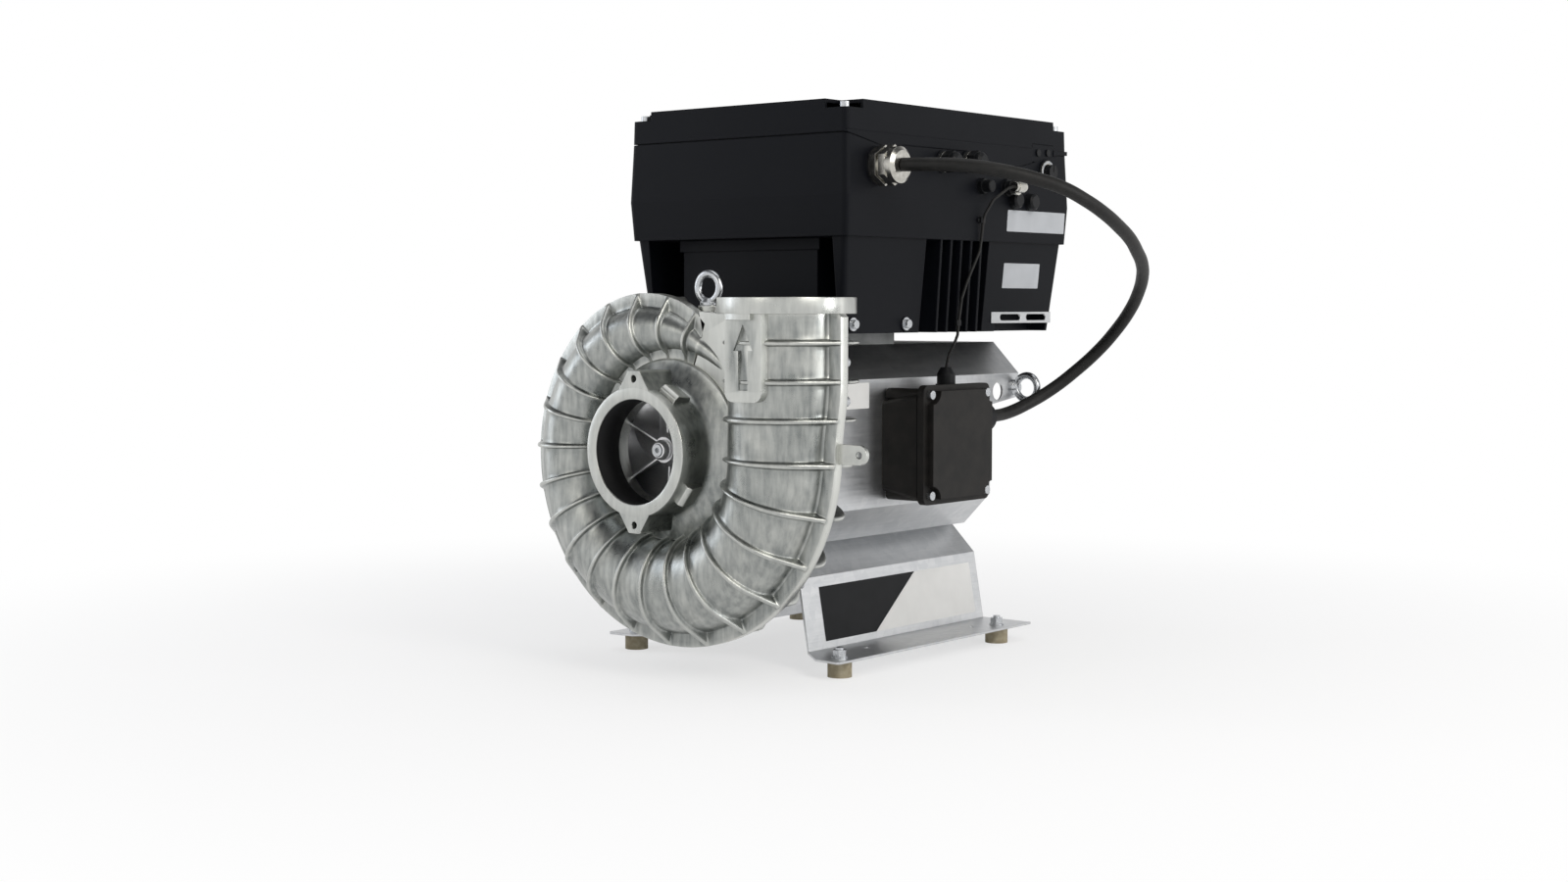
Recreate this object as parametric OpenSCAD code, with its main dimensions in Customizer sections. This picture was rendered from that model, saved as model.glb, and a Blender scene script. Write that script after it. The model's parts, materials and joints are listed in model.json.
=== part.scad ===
// Industrial centrifugal blower with a motor and a motor-mounted inverter.
// Millimetres. The origin lies under the middle of the four feet, on the floor.
// The shaft runs along Y, the inlet faces -Y, the outlet points up at +X.

/* [Layout] */
// Height of the shaft axis above the floor
shaft_h = 230; // [222:1:240]
// Y of the plane in which the two casing halves meet
split_y = -235; // [-245:1:-228]
// Distance between the left and right feet
foot_dx = 282; // [270:1:296]
// Distance between the front and rear feet
foot_dy = 286; // [270:1:296]

/* [Scroll casing] */
// Rim radius at the top, where the scroll is narrow
rim_top_r = 154; // [150:1:158]
// Rim radius at the right, where the scroll runs into the outlet
rim_side_r = 211; // [206:1:214]
// Radius at which the flow channel starts, beside the tongue
throat_start_r = 100; // [98:1:103]
// Radius at which the flow channel starts, beside the outlet
throat_end_r = 88; // [87:1:90]
// Wall of the casing
wall = 5; // [4:0.5:6]
// Width of the rim outside the channel
rim_w = 14; // [11:1:16]
// Thickness of the rim of one half
rim_t = 6; // [5:0.5:7]
// Height of a rib over the wall
rib_h = 5; // [3:0.5:6]
// Width of a rib at its crest
rib_w = 3.4; // [2.5:0.1:4.5]
// Angle between two ribs
rib_pitch = 14.8; // [14.8:0.1:15]
// Ribs on the round part of the scroll
rib_count = 20; // [18:1:20]
// Distance between two ribs on the straight outlet
rib_dz = 37.3; // [35:0.1:39]

/* [Inlet and outlet] */
// Bore of the inlet
inlet_r = 52.5; // [48:0.5:54]
// Outside radius of the inlet flange
inlet_ring_r = 65; // [63:0.5:67]
// Distance from the inlet face to the split plane
inlet_len = 61; // [61:0.5:64]
// Distance between the two inlet bolt holes
inlet_bolt_dz = 146; // [144:1:152]
// Radius of the inlet bolt holes
inlet_bolt_r = 3.5; // [3:0.25:4.5]
// X of the outlet axis
outlet_x = 146.5; // [143:0.5:149]
// Bore of the outlet
outlet_r = 53; // [51:0.5:54]
// Outside radius of the outlet channel
outlet_tube_r = 57; // [56:0.5:59]
// Outside radius of the outlet flange
outlet_flange_r = 68; // [66:1:72]
// Thickness of the outlet flange
outlet_flange_t = 16; // [12:1:20]
// Height of the outlet face above the floor
outlet_h = 383.5; // [378:0.5:392]

/* [Impeller] */
// Outside radius of the impeller
wheel_r = 85; // [80:1:86]
// Number of blades
blade_count = 6; // [5:1:8]
// Thickness of a blade
blade_t = 2.6; // [2:0.1:3.5]
// Angle through which a blade wraps round the hub
blade_wrap = 72; // [50:1:90]

/* [Motor] */
// Half the width of the motor shroud
shroud_hw = 105; // [102:0.5:112]
// Half the height of the motor shroud
shroud_hh = 103.6; // [101:0.2:106]
// Sheet thickness of the shroud and the base bracket
sheet_t = 2.5; // [2:0.5:3]
// Y of the front edge of the shroud
shroud_y0 = -158; // [-162:1:-150]
// Y of the rear edge of the shroud sides
shroud_y1 = 182; // [178:1:190]
// Y of the rear edge of the roof and lifting lugs
shroud_y2 = 240; // [232:1:246]
// Radius of the motor shaft in its bearings
shaft_r = 15; // [14:0.5:16]
// Outside radius of the motor frame, without fins
frame_r = 86; // [84:0.5:88]

/* [Inverter] */
// Half the width of the inverter at the lid seam
inv_hw = 147; // [142:1:152]
// Y of the front face of the inverter
inv_y0 = -141; // [-144:1:-136]
// Y of the rear face of the inverter
inv_y1 = 273; // [266:1:280]
// Height of the underside of the inverter
inv_z0 = 347; // [346:1:352]
// Height of the lid seam
inv_seam_z = 548.5; // [545:0.5:552]
// Height of the top of the lid
inv_z1 = 583.2; // [580:0.2:590]
// Wall of the inverter housing
inv_wall = 4; // [3:0.5:5]

/* [Terminal box] */
// Width of the cover along Y
tbox_w = 123; // [118:1:128]
// Height of the cover
tbox_hgt = 126; // [120:1:130]
// Y of the middle of the box
tbox_y = 36.5; // [34:0.5:40]
// Depth of the box body
tbox_depth = 45; // [42:1:48]

/* [Cables] */
// Diameter of the motor cable
cable_d = 14; // [13:0.5:15]
// Diameter of the signal lead
lead_d = 3.2; // [3:0.1:4]

/* [Hidden] */
fn_round = 64;
fn_small = 32;
over = 1;
seat = 0.3;
run_gap = 0.04;
col_cast = "#A9ABA2";
col_sheet = "#B4B5B7";
col_black = "#191B20";
col_plastic = "#1E1F22";
col_steel = "#B9BBBD";
col_rubber = "#7D7464";
col_copper = "#A8622E";
col_board = "#2F5D3A";
inlet_y = split_y - inlet_len;
// Scroll growth: one part comes fast at first, the rest steadily
fast_share = 0.65;
fast_pace_share = 0.19;
slow_power = 1.5;
turn = 270;
scroll_start = -20;
rib_lead = 6.6;
rib_first = scroll_start + rib_lead;
rib_foot_w = 1.6;
arc_n = 8;
arc_in_n = 6;
// Where the channel walls meet the inlet cone and the back plate
lip_v = 8;
lip_in_v = 3;
front_lip_r = 89.5;
front_lip_v = 6;
front_lip_in_r = 88.5;
front_lip_in_v = 2;
back_lip_r = 91;
back_lip_v = 26;
back_lip_in_r = 89;
back_lip_in_v = 19;
back_v = 27;
back_in_v = 18;
back_wall_v = 28;
tongue_dz = 24;
inner_rim_w = 8;
inner_rim_dz0 = 42;
inner_rim_dz1 = 66;
rise_dz = 70;
column_top = outlet_h - outlet_flange_t;
// The rim narrows under the outlet flange
top_rim_w = 10;
top_slope_l = 3;
// Share of a rib's angle that is left flat at its crest, and that its foot takes up
crest_share = 0.8;
foot_share = 0.7;
back_wall_step = 8;
rib_z_lead = 2;

function grow(t) = let(u = t / turn) fast_share * (1 - exp(-u / fast_pace_share))
  + (1 - fast_share) * pow(max(u, 0), slow_power);
function rim_at(t) = rim_top_r + (rim_side_r - rim_top_r) * grow(t);
function throat_at(t) = throat_start_r + (throat_end_r - throat_start_r) * t / turn;
function tube_at(t) = (rim_at(t) - rim_w - throat_at(t)) / 2;
function smooth(u) = let(s = min(max(u, 0), 1)) s * s * (3 - 2 * s);
function mix(a, b, s) = a + (b - a) * s;
// A station holds: direction of the rim, place of the channel axis, channel radius,
// extra height of the rib, 0 where the channel is open to the wheel and 1 where it is closed, inner rim, rim
function round_station(t, rib) = let(a = tube_at(t), rc = throat_at(t) + a)
  [[-sin(t), cos(t)], [-rc * sin(t), shaft_h + rc * cos(t)], a, rib, 0, 0, rim_w];
function straight_station(dz, rib) = let(s = smooth(dz / rise_dz), a = mix(tube_at(turn), outlet_tube_r, s))
  [[1, 0], [mix(throat_at(turn) + tube_at(turn), outlet_x, s), shaft_h + dz], a, rib, dz < tongue_dz ? 0 : 1,
  inner_rim_w * smooth((dz - inner_rim_dz0) / (inner_rim_dz1 - inner_rim_dz0)),
  dz > column_top - shaft_h ? top_rim_w : rim_w];
rib_dt = (rib_w / 2) / rim_top_r * 180 / PI * crest_share;
foot_dt = rib_dt + rib_foot_w / rim_top_r * 180 / PI * foot_share;
first_dz = rib_dz - rib_z_lead;
stations = concat(
  [round_station(scroll_start, 0)],
  [for (i = [0:rib_count - 1]) let(t = rib_first + i * rib_pitch) each [
    round_station(t - foot_dt, 0), round_station(t - rib_dt, 1),
    round_station(t + rib_dt, 1), round_station(t + foot_dt, 0)]],
  [straight_station(tongue_dz - over, 0), straight_station(tongue_dz, 0)],
  [for (i = [0:2]) let(dz = first_dz + i * rib_dz, w = rib_w / 2) each [
    straight_station(dz - w - rib_foot_w, 0), straight_station(dz - w, 1),
    straight_station(dz + w, 1), straight_station(dz + w + rib_foot_w, 0)]],
  [straight_station(column_top - top_slope_l - shaft_h, 0), straight_station(column_top + over - shaft_h, 0)]);
// Height of a rib over the channel axis at angle p: round, or straight down to the edge of the rim
function rib_radius(a, reach, p) = let(h = a + rib_h, q = atan2(rim_t, reach), m = norm([reach, rim_t]),
  b = q + acos(min(1, h / m))) m <= h || p >= b ? h : h / cos(b - p);
// Cross-section of one half, front or back, as [distance along the rim direction, distance from the split]
function section(s, back) = let(a = s[2], n = s[0], rc = s[1][0] * n[0] + (s[1][1] - shaft_h) * n[1],
  closed = s[4], rim_in = s[5], reach = a + s[6], p0 = asin(rim_t / a),
  v_end = back ? back_wall_v : lip_v, p1 = 180 - (closed == 1 ? p0 : asin(min(1, v_end / a))),
  ai = a - wall, q1 = 180 - (closed == 1 ? 0 : asin(min(1, (back ? back_wall_v - back_wall_step : lip_in_v) / ai))))
  concat([[reach, 0], [reach, rim_t]],
  [for (i = [0:arc_n]) let(p = mix(p0, p1, i / arc_n),
    r = s[3] == 0 ? a : min(rib_radius(a, reach, p), closed == 1 ? rib_radius(a, a + rim_in, 180 - p) : a + rib_h))
    [r * cos(p), r * sin(p)]],
  closed == 1 ? [[-a - rim_in, rim_t], [-a - rim_in, 0]]
    : [[(back ? back_lip_r : front_lip_r) - rc, back ? back_lip_v : front_lip_v],
      [(back ? back_lip_in_r : front_lip_in_r) - rc, back ? back_lip_in_v : front_lip_in_v]],
  [for (i = [0:arc_in_n]) let(q = mix(q1, 0, i / arc_in_n)) [ai * cos(q), ai * sin(q)]]);
ring_n = 2 + arc_n + 1 + 2 + arc_in_n + 1;
function placed(s, p, side) = [s[1][0] + s[0][0] * p[0], split_y + side * p[1], s[1][1] + s[0][1] * p[0]];

// One half of the scroll as a loft through all stations
module scroll_half(side) {
  rings = [for (s = stations) [for (p = section(s, side > 0)) placed(s, p, side)]];
  last = len(rings) - 1;
  points = [for (r = rings) each r];
  walls = [for (i = [0:last - 1], j = [0:ring_n - 1]) let(k = (j + 1) % ring_n, a = i * ring_n + j,
    b = i * ring_n + k, c = a + ring_n, d = b + ring_n) each [[a, b, c], [b, d, c]]];
  caps = concat([cap(rings[0], 0, false)], [cap(rings[last], last * ring_n, true)]);
  faces = concat(walls, [for (c = caps) each c]);
  polyhedron(points, side < 0 ? faces : [for (f = faces) [f[2], f[1], f[0]]]);
}

// An end face, split into triangles between the outer and the inner line of the section
function cap(ring, base, flip) = let(no = arc_n + 5, ni = arc_in_n + 1,
  tris = concat([for (i = [0:no - 2]) let(j = round(i * (ni - 1) / (no - 1)), a = i, b = i + 1,
    c = no + ni - 1 - j) [a, b, c]],
    [for (i = [0:no - 2]) let(j = round(i * (ni - 1) / (no - 1)), k = round((i + 1) * (ni - 1) / (no - 1)))
      if (k > j) [i + 1, no + ni - 1 - k, no + ni - 1 - j]]))
  [for (f = tris) flip ? [base + f[0], base + f[1], base + f[2]] : [base + f[2], base + f[1], base + f[0]]];

// Frames and shapes that several pieces share
module on_axis(y) {
  translate([0, y, shaft_h]) rotate([-90, 0, 0]) children();
}
module turned(points) {
  rotate_extrude($fn = fn_round) polygon(points);
}
module block(x, y, z) {
  translate([x[0], y[0], z[0]]) cube([x[1] - x[0], y[1] - y[0], z[1] - z[0]]);
}
module disc(r, h, fn = fn_small) {
  cylinder(r = r, h = h, $fn = fn);
}
module ring(r_out, r_in, h) {
  difference() {
    disc(r_out, h);
    translate([0, 0, -over]) disc(r_in, h + 2 * over);
  }
}
module hex(across, h) {
  cylinder(r = across / 2 / cos(30), h = h, $fn = 6);
}
module along_x(x, y, z) {
  translate([x, y, z]) rotate([0, 90, 0]) children();
}
// A shape drawn as [x, height above the floor], reaching from y0 to y1
module upright(y0, y1) {
  translate([0, y1, 0]) rotate([90, 0, 0]) linear_extrude(y1 - y0) children();
}
module rounded(w, d, r) {
  square([w - 2 * r, d], center = true);
  square([w, d - 2 * r], center = true);
  for (sx = [-1, 1], sy = [-1, 1])
    translate([sx * (w / 2 - r), sy * (d / 2 - r)]) circle(r, $fn = fn_small);
}

// Front half of the scroll, with the inlet, its ears and lugs, and the direction arrow
cone_r = 92;
cone_base_r = 67;
cone_base_l = 38;
cone_shoulder_r = 88;
cone_shoulder_l = 51;
cone_rim_l = 52;
cone_end_l = inlet_len - 0.6;
bore_l = 34;
wheel_gap = 1.5;
cone_in_r = wheel_r + wheel_gap;
cone_in_l = 57;
ear_root_hw = 23;
ear_tip_hw = 9;
ear_root_z = 50;
ear_edge = 8.3;
ear_back_l = 50;
ear_hole_l = 25;
lug_w = 23;
lug_l0 = 11;
lug_l1 = 34;
lug_foot_r = 60;
lug_top_r = 73;
lug_low_r = 70;
lug_ramp = 5;
lug_angles = [-58.4, 37];
tongue_r0 = 88.5;
tongue_r1 = 93;
tongue_start_a = -70;
tongue_turn_a = 57;
tongue_l = 24;
web_x0 = 30;
web_z0 = 371;
web_x1 = 80;
web_z1 = 367;
web_x2 = 91.5;
web_z2 = 285;
web_r = 91;
web_arc = [for (i = [0:6]) -59 + i * 6.4];
web_edge_r = 125;
boss_x0 = 121.5;
boss_x1 = 167;
boss_z0 = 283.5;
boss_proud = 6;
boss_corner_r = 10;
arrow_deep = 1.2;
arrow_tip_z = 357.7;
arrow_barb_z = 332.5;
arrow_foot_z = 295;
arrow_head_hw = 12;
arrow_shaft_hw = 6;
flange_bolt_r = 2.75;
flange_bolt_pitch_r = 60.8;
flange_bolt_l = 13;
outlet_step_l = 2;
rim_screws = [for (i = [1:3:16]) rib_first + (i + 0.5) * rib_pitch];
rim_screw_r = 3;
rim_screw_in = 7;
column_screw_x = outlet_x + outlet_tube_r + 7;
column_screws = [for (i = [0:1]) shaft_h + first_dz + (i + 0.5) * rib_dz];
web_screw = [60, 345];
screw_deep = 4.5;

module at_rim_screws() {
  for (t = rim_screws) let(r = rim_at(t) - rim_screw_in) translate([-r * sin(t), split_y, shaft_h + r * cos(t)])
    rotate([-90, 0, 0]) children();
  for (z = column_screws) translate([column_screw_x, split_y, z]) rotate([-90, 0, 0]) children();
  translate([web_screw[0], split_y, web_screw[1]]) rotate([-90, 0, 0]) children();
}
// The wall that closes the wheel chamber where the scroll has left it
module tongue(y0, y1) {
  on_axis(y0) rotate([0, 0, tongue_start_a]) rotate_extrude(angle = tongue_turn_a, $fn = fn_round)
    translate([tongue_r0, 0]) square([tongue_r1 - tongue_r0, y1 - y0]);
}
// Flat web between the start of the scroll and the outlet
module web(y0, y1) {
  upright(y0, y1) polygon(concat([[web_x0, web_z0], [web_x1, web_z1], [web_x1, column_top + over],
    [web_x2, column_top + over], [web_x2, web_z2]],
    [for (a = web_arc) [-web_r * sin(a), shaft_h + web_r * cos(a)]],
    [[-web_edge_r * sin(scroll_start), shaft_h + web_edge_r * cos(scroll_start)]]));
}
module outlet_flange(side) {
  translate([outlet_x, split_y, column_top]) rotate([0, 0, side > 0 ? 0 : 180])
    rotate_extrude(angle = 180, $fn = fn_round) translate([outlet_r - over, 0])
      square([outlet_flange_r - outlet_r + over, outlet_flange_t]);
}
module outlet_bore(side) {
  translate([outlet_x, split_y, column_top - outlet_step_l]) rotate([0, 0, -side * 90])
    disc(outlet_r, outlet_flange_t + outlet_step_l + over, fn_round);
}
module outlet_bolt_holes() {
  for (a = [45:90:315]) translate([outlet_x, split_y, outlet_h - flange_bolt_l]) rotate([0, 0, a])
    translate([flange_bolt_pitch_r, 0, 0]) disc(flange_bolt_r, flange_bolt_l + over);
}
module inlet_body() {
  on_axis(inlet_y) turned([[inlet_r, 0], [inlet_ring_r, 0], [cone_base_r, cone_base_l],
    [cone_shoulder_r, cone_shoulder_l], [cone_r, cone_rim_l], [cone_r, cone_end_l], [cone_in_r, cone_end_l],
    [cone_in_r, cone_in_l], [inlet_r, bore_l]]);
}
module inlet_space() {
  on_axis(inlet_y) turned([[0, -over], [inlet_r, -over], [inlet_r, bore_l], [cone_in_r, cone_in_l],
    [cone_in_r, cone_end_l], [0, cone_end_l]]);
}
module inlet_ears() {
  for (s = [-1, 1]) upright(inlet_y, inlet_y + ear_back_l)
    polygon([[-ear_root_hw, shaft_h + s * ear_root_z], [ear_root_hw, shaft_h + s * ear_root_z],
      [ear_tip_hw, shaft_h + s * (inlet_bolt_dz / 2 + ear_edge)],
      [-ear_tip_hw, shaft_h + s * (inlet_bolt_dz / 2 + ear_edge)]]);
}
module inlet_lugs() {
  for (a = lug_angles) on_axis(inlet_y) rotate([0, 0, a]) rotate([90, 0, 0])
    translate([0, 0, -lug_w / 2]) linear_extrude(lug_w)
      polygon([[lug_foot_r, lug_l0], [lug_low_r, lug_l0], [lug_top_r, lug_l0 + lug_ramp],
        [lug_low_r, lug_l1], [lug_foot_r, lug_l1]]);
}
module arrow_boss() {
  face_y = split_y - outlet_tube_r - boss_proud;
  cx = (boss_x0 + boss_x1) / 2;
  difference() {
    upright(face_y, split_y - rim_t) {
      translate([boss_x0, boss_z0 + boss_corner_r])
        square([boss_x1 - boss_x0, column_top + over - boss_z0 - boss_corner_r]);
      translate([boss_x0 + boss_corner_r, boss_z0]) square([boss_x1 - boss_x0 - 2 * boss_corner_r, boss_corner_r]);
      for (x = [boss_x0 + boss_corner_r, boss_x1 - boss_corner_r])
        translate([x, boss_z0 + boss_corner_r]) circle(boss_corner_r, $fn = fn_small);
    }
    translate([outlet_x, split_y, boss_z0 - over]) disc(outlet_tube_r - wall / 2, column_top - boss_z0 + 2 * over, fn_round);
    upright(face_y - over, face_y + arrow_deep)
      polygon([[cx, arrow_tip_z], [cx - arrow_head_hw, arrow_barb_z], [cx - arrow_shaft_hw, arrow_barb_z],
        [cx - arrow_shaft_hw, arrow_foot_z], [cx + arrow_shaft_hw, arrow_foot_z], [cx + arrow_shaft_hw, arrow_barb_z],
        [cx + arrow_head_hw, arrow_barb_z]]);
  }
}
module volute_cover() color(col_cast) difference() {
  union() {
    scroll_half(-1);
    difference() {
      union() {
        inlet_body();
        inlet_ears();
        inlet_lugs();
        web(split_y - rim_t, split_y);
        outlet_flange(-1);
        arrow_boss();
      }
      inlet_space();
      outlet_bolt_holes();
      for (s = [-1, 1]) translate([0, inlet_y - over, shaft_h + s * inlet_bolt_dz / 2]) rotate([-90, 0, 0])
        disc(inlet_bolt_r, ear_hole_l + over);
    }
  }
  outlet_bore(-1);
  at_rim_screws() translate([0, 0, -screw_deep]) disc(rim_screw_r, screw_deep + over);
}

// Rear half of the scroll, with the back plate behind the impeller
back_r = 95;
back_bore_r = 20;
side_ear_r = 10.5;
side_ear_x = 234.6;
side_ear_z = 233.8;
side_ear_t = 5.5;
side_ear_hole_r = 3.5;
side_ear_root_x = 200;
eye_x = 30;
eye_y = -216;
eye_seat_z = 375.7;
eye_boss_r = 11;
eye_boss_z = 348;
eye_foot_hw = 8;
eye_foot_v0 = 16;
eye_foot_v1 = 25;
eye_foot_z = 326;
eye_thread_r = 4;
eye_thread_l = 16;
flange_stud_r = 3.3;
flange_stud_pitch_r = 79;
flange_stud_deep = 6;
screw_clear = 0.1;

module volute_back() color(col_cast) difference() {
  union() {
    scroll_half(1);
    difference() {
      union() {
        on_axis(split_y) turned([[back_bore_r, back_in_v], [back_r, back_in_v], [back_r, back_v], [back_bore_r, back_v]]);
        tongue(split_y, split_y + tongue_l);
        web(split_y, split_y + rim_t);
        outlet_flange(1);
        upright(split_y, split_y + side_ear_t) {
          translate([side_ear_x, side_ear_z]) circle(side_ear_r, $fn = fn_small);
          translate([side_ear_root_x, side_ear_z - side_ear_r]) square([side_ear_x - side_ear_root_x, 2 * side_ear_r]);
        }
        translate([eye_x, eye_y, eye_boss_z]) disc(eye_boss_r, eye_seat_z - eye_boss_z);
        block([eye_x - eye_foot_hw, eye_x + eye_foot_hw], [split_y + eye_foot_v0, split_y + eye_foot_v1],
          [eye_foot_z, eye_boss_z + over]);
      }
      outlet_bolt_holes();
      translate([side_ear_x, split_y - over, side_ear_z]) rotate([-90, 0, 0])
        disc(side_ear_hole_r, side_ear_t + 2 * over);
      translate([eye_x, eye_y, eye_seat_z - eye_thread_l]) disc(eye_thread_r, eye_thread_l + over);
      on_axis(split_y + back_v - flange_stud_deep) for (a = [45:90:315]) rotate([0, 0, a])
        translate([flange_stud_pitch_r, 0, 0]) disc(flange_stud_r, flange_stud_deep + over);
    }
  }
  outlet_bore(1);
  at_rim_screws() translate([0, 0, -over]) disc(rim_screw_r + screw_clear, rim_t + 2 * over);
}

// Screws that hold the two halves together, put in from behind
rim_head_r = 5;
rim_head_h = 6;
module volute_screws() color(col_steel) at_rim_screws() {
  translate([0, 0, rim_t]) disc(rim_head_r, rim_head_h);
  translate([0, 0, -screw_deep]) disc(rim_screw_r, screw_deep + rim_t + over);
}

// Impeller: heights count from the split plane towards the motor
hub_r = 10;
hub_front_r = 13;
disc_front_v = 11.5;
disc_back_v = 16;
hub_rise = 28.5;
hub_power = 5;
hub_n = 12;
blade_root_r = 14;
blade_root_v = -9;
blade_tip_r = 67;
blade_tip_v = -15.5;
blade_exit_v = -2.5;
blade_sink = 1;
blade_sink_in = 6;
blade_thick = 3.2;
blade_lead_a = 63;
blade_n = 7;
wrap_share = 0.25;
key_w = 6;
key_top_r = 12.4;
key_bed_r = 7;
key_y0 = -247;
key_y1 = -227;
function hub_v(r) = disc_front_v - hub_rise * pow((wheel_r - r) / (wheel_r - hub_front_r), hub_power);
// A point of a blade: s runs from the leading to the trailing edge, q from the hub to the tip
function blade_point(s, q, side) = let(
  root_r = mix(blade_root_r, wheel_r, s), tip_r = mix(blade_tip_r, wheel_r, s), r = mix(root_r, tip_r, q),
  root_v = hub_v(root_r) + mix(blade_sink_in, blade_sink, min(1, 3 * s)),
  v = mix(root_v, mix(blade_tip_v, blade_exit_v, s), q),
  lean = blade_wrap * (wrap_share * s + (1 - wrap_share) * s * s), half = blade_thick / 2 / r * 180 / PI,
  a = blade_lead_a - lean + side * half) [-r * sin(a), v, r * cos(a)];
module blade() {
  sides = [-1, 1];
  points = [for (side = sides, i = [0:blade_n - 1], j = [0:2]) blade_point(i / (blade_n - 1), j / 2, side)];
  m = 3 * blade_n;
  function quad(a, b, c, d) = [[a, b, c], [a, c, d]];
  sheets = [for (i = [0:blade_n - 2], j = [0:1]) let(a = 3 * i + j)
    each concat(quad(a, a + 1, a + 4, a + 3), quad(m + a, m + a + 3, m + a + 4, m + a + 1))];
  rims = [for (i = [0:blade_n - 2]) let(a = 3 * i)
    each concat(quad(a, a + 3, m + a + 3, m + a), quad(a + 2, m + a + 2, m + a + 5, a + 5))];
  ends = [for (j = [0:1]) let(b = m - 3 + j)
    each concat(quad(j, m + j, m + j + 1, j + 1), quad(b, b + 1, m + b + 1, m + b))];
  translate([0, split_y, shaft_h]) polyhedron(points, concat(sheets, rims, ends));
}
module impeller() color(col_steel) difference() {
  union() {
    on_axis(split_y) turned(concat([[hub_r, hub_v(hub_front_r)]],
      [for (i = [0:hub_n]) let(r = mix(hub_front_r, wheel_r, i / hub_n)) [r, hub_v(r)]],
      [[wheel_r, disc_back_v], [hub_r, disc_back_v]]));
    for (i = [0:blade_count - 1]) translate([0, 0, shaft_h]) rotate([0, i * 360 / blade_count, 0])
      translate([0, 0, -shaft_h]) blade();
  }
  block([-key_w / 2, key_w / 2], [split_y + hub_v(hub_front_r) - over, split_y + disc_back_v + over],
    [shaft_h, shaft_h + key_top_r]);
  on_axis(split_y + hub_v(hub_front_r) - over) disc(hub_r, disc_back_v - hub_v(hub_front_r) + 2 * over, fn_round);
}

// Cap on the hub, and the screw that draws it and the impeller onto the shaft
nose_r = 10.3;
nose_l = 9;
nose_flat_r = 7.5;
nose_shoulder_l = 3;
nose_sink_l = 4.5;
cap_head_r = 6.25;
cap_head_l = 5.4;
cap_shank_r = 3;
cap_thread_l = 22;
socket_w = 5;
socket_l = 3;
nose_y = split_y + hub_v(hub_front_r);
module impeller_nose() color(col_steel) on_axis(nose_y - nose_l) turned([[cap_shank_r + run_gap, nose_sink_l],
  [cap_head_r + seat, nose_sink_l], [cap_head_r + seat, 0], [nose_flat_r, 0],
  [(nose_flat_r + nose_r) / 2, nose_shoulder_l / 2], [nose_r, nose_l - nose_shoulder_l],
  [nose_r, nose_l], [cap_shank_r + run_gap, nose_l]]);
module impeller_screw() color(col_steel) on_axis(nose_y - nose_l + nose_sink_l) {
  difference() {
    translate([0, 0, -cap_head_l]) disc(cap_head_r, cap_head_l);
    translate([0, 0, -cap_head_l - over]) hex(socket_w, socket_l + over);
  }
  translate([0, 0, -over]) disc(cap_shank_r, nose_l - nose_sink_l + cap_thread_l + over);
}

// Shaft, from the impeller to the cooling fan
end_r = 10;
shoulder_r = 12;
core_r = 20;
fan_seat_r = 11;
shaft_y0 = nose_y + 0.5;
shoulder_y = split_y + disc_back_v;
bearing_step_y = -190;
bearing_w = 16;
bearing_r = 31;
front_bearing_y = -186;
rear_bearing_y = 118;
core_y0 = -150;
core_y1 = 100;
rear_seat_y = 134;
shaft_end_y = 170;
module motor_shaft() color(col_steel) difference() {
  on_axis(0) turned([[0, shaft_y0], [end_r, shaft_y0], [end_r, shoulder_y], [shoulder_r, shoulder_y],
    [shoulder_r, bearing_step_y], [shaft_r, bearing_step_y], [shaft_r, core_y0], [core_r, core_y0], [core_r, core_y1],
    [shaft_r, core_y1], [shaft_r, rear_seat_y], [fan_seat_r, rear_seat_y], [fan_seat_r, shaft_end_y], [0, shaft_end_y]]);
  on_axis(shaft_y0 - over) disc(cap_shank_r, cap_thread_l + 2 * over);
  block([-key_w / 2, key_w / 2], [key_y0, key_y1], [shaft_h + key_bed_r, shaft_h + end_r + over]);
}
module shaft_key() color(col_steel)
  block([-key_w / 2, key_w / 2], [key_y0, key_y1], [shaft_h + key_bed_r, shaft_h + key_top_r - seat]);

// Seal behind the impeller, held by the back plate
seal_lip_l = 3;
module shaft_seal() color(col_black) on_axis(split_y + back_in_v) turned([[shoulder_r + run_gap, 0],
  [back_bore_r, 0], [back_bore_r, back_v - back_in_v], [back_bore_r - seal_lip_l, back_v - back_in_v],
  [back_bore_r - seal_lip_l, seal_lip_l], [shoulder_r + run_gap, seal_lip_l]]);

// Ball bearing, closed by a shield on each side
shield_deep = 1;
race_h = 4;
module bearing(y) {
  on_axis(y) turned([[shaft_r + run_gap, 0], [shaft_r + race_h, 0], [shaft_r + race_h, shield_deep],
    [bearing_r - race_h, shield_deep], [bearing_r - race_h, 0], [bearing_r, 0], [bearing_r, bearing_w],
    [bearing_r - race_h, bearing_w], [bearing_r - race_h, bearing_w - shield_deep],
    [shaft_r + race_h, bearing_w - shield_deep], [shaft_r + race_h, bearing_w], [shaft_r + run_gap, bearing_w]]);
}
module front_bearing() color(col_steel) bearing(front_bearing_y);
module rear_bearing() color(col_steel) bearing(rear_bearing_y);

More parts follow.
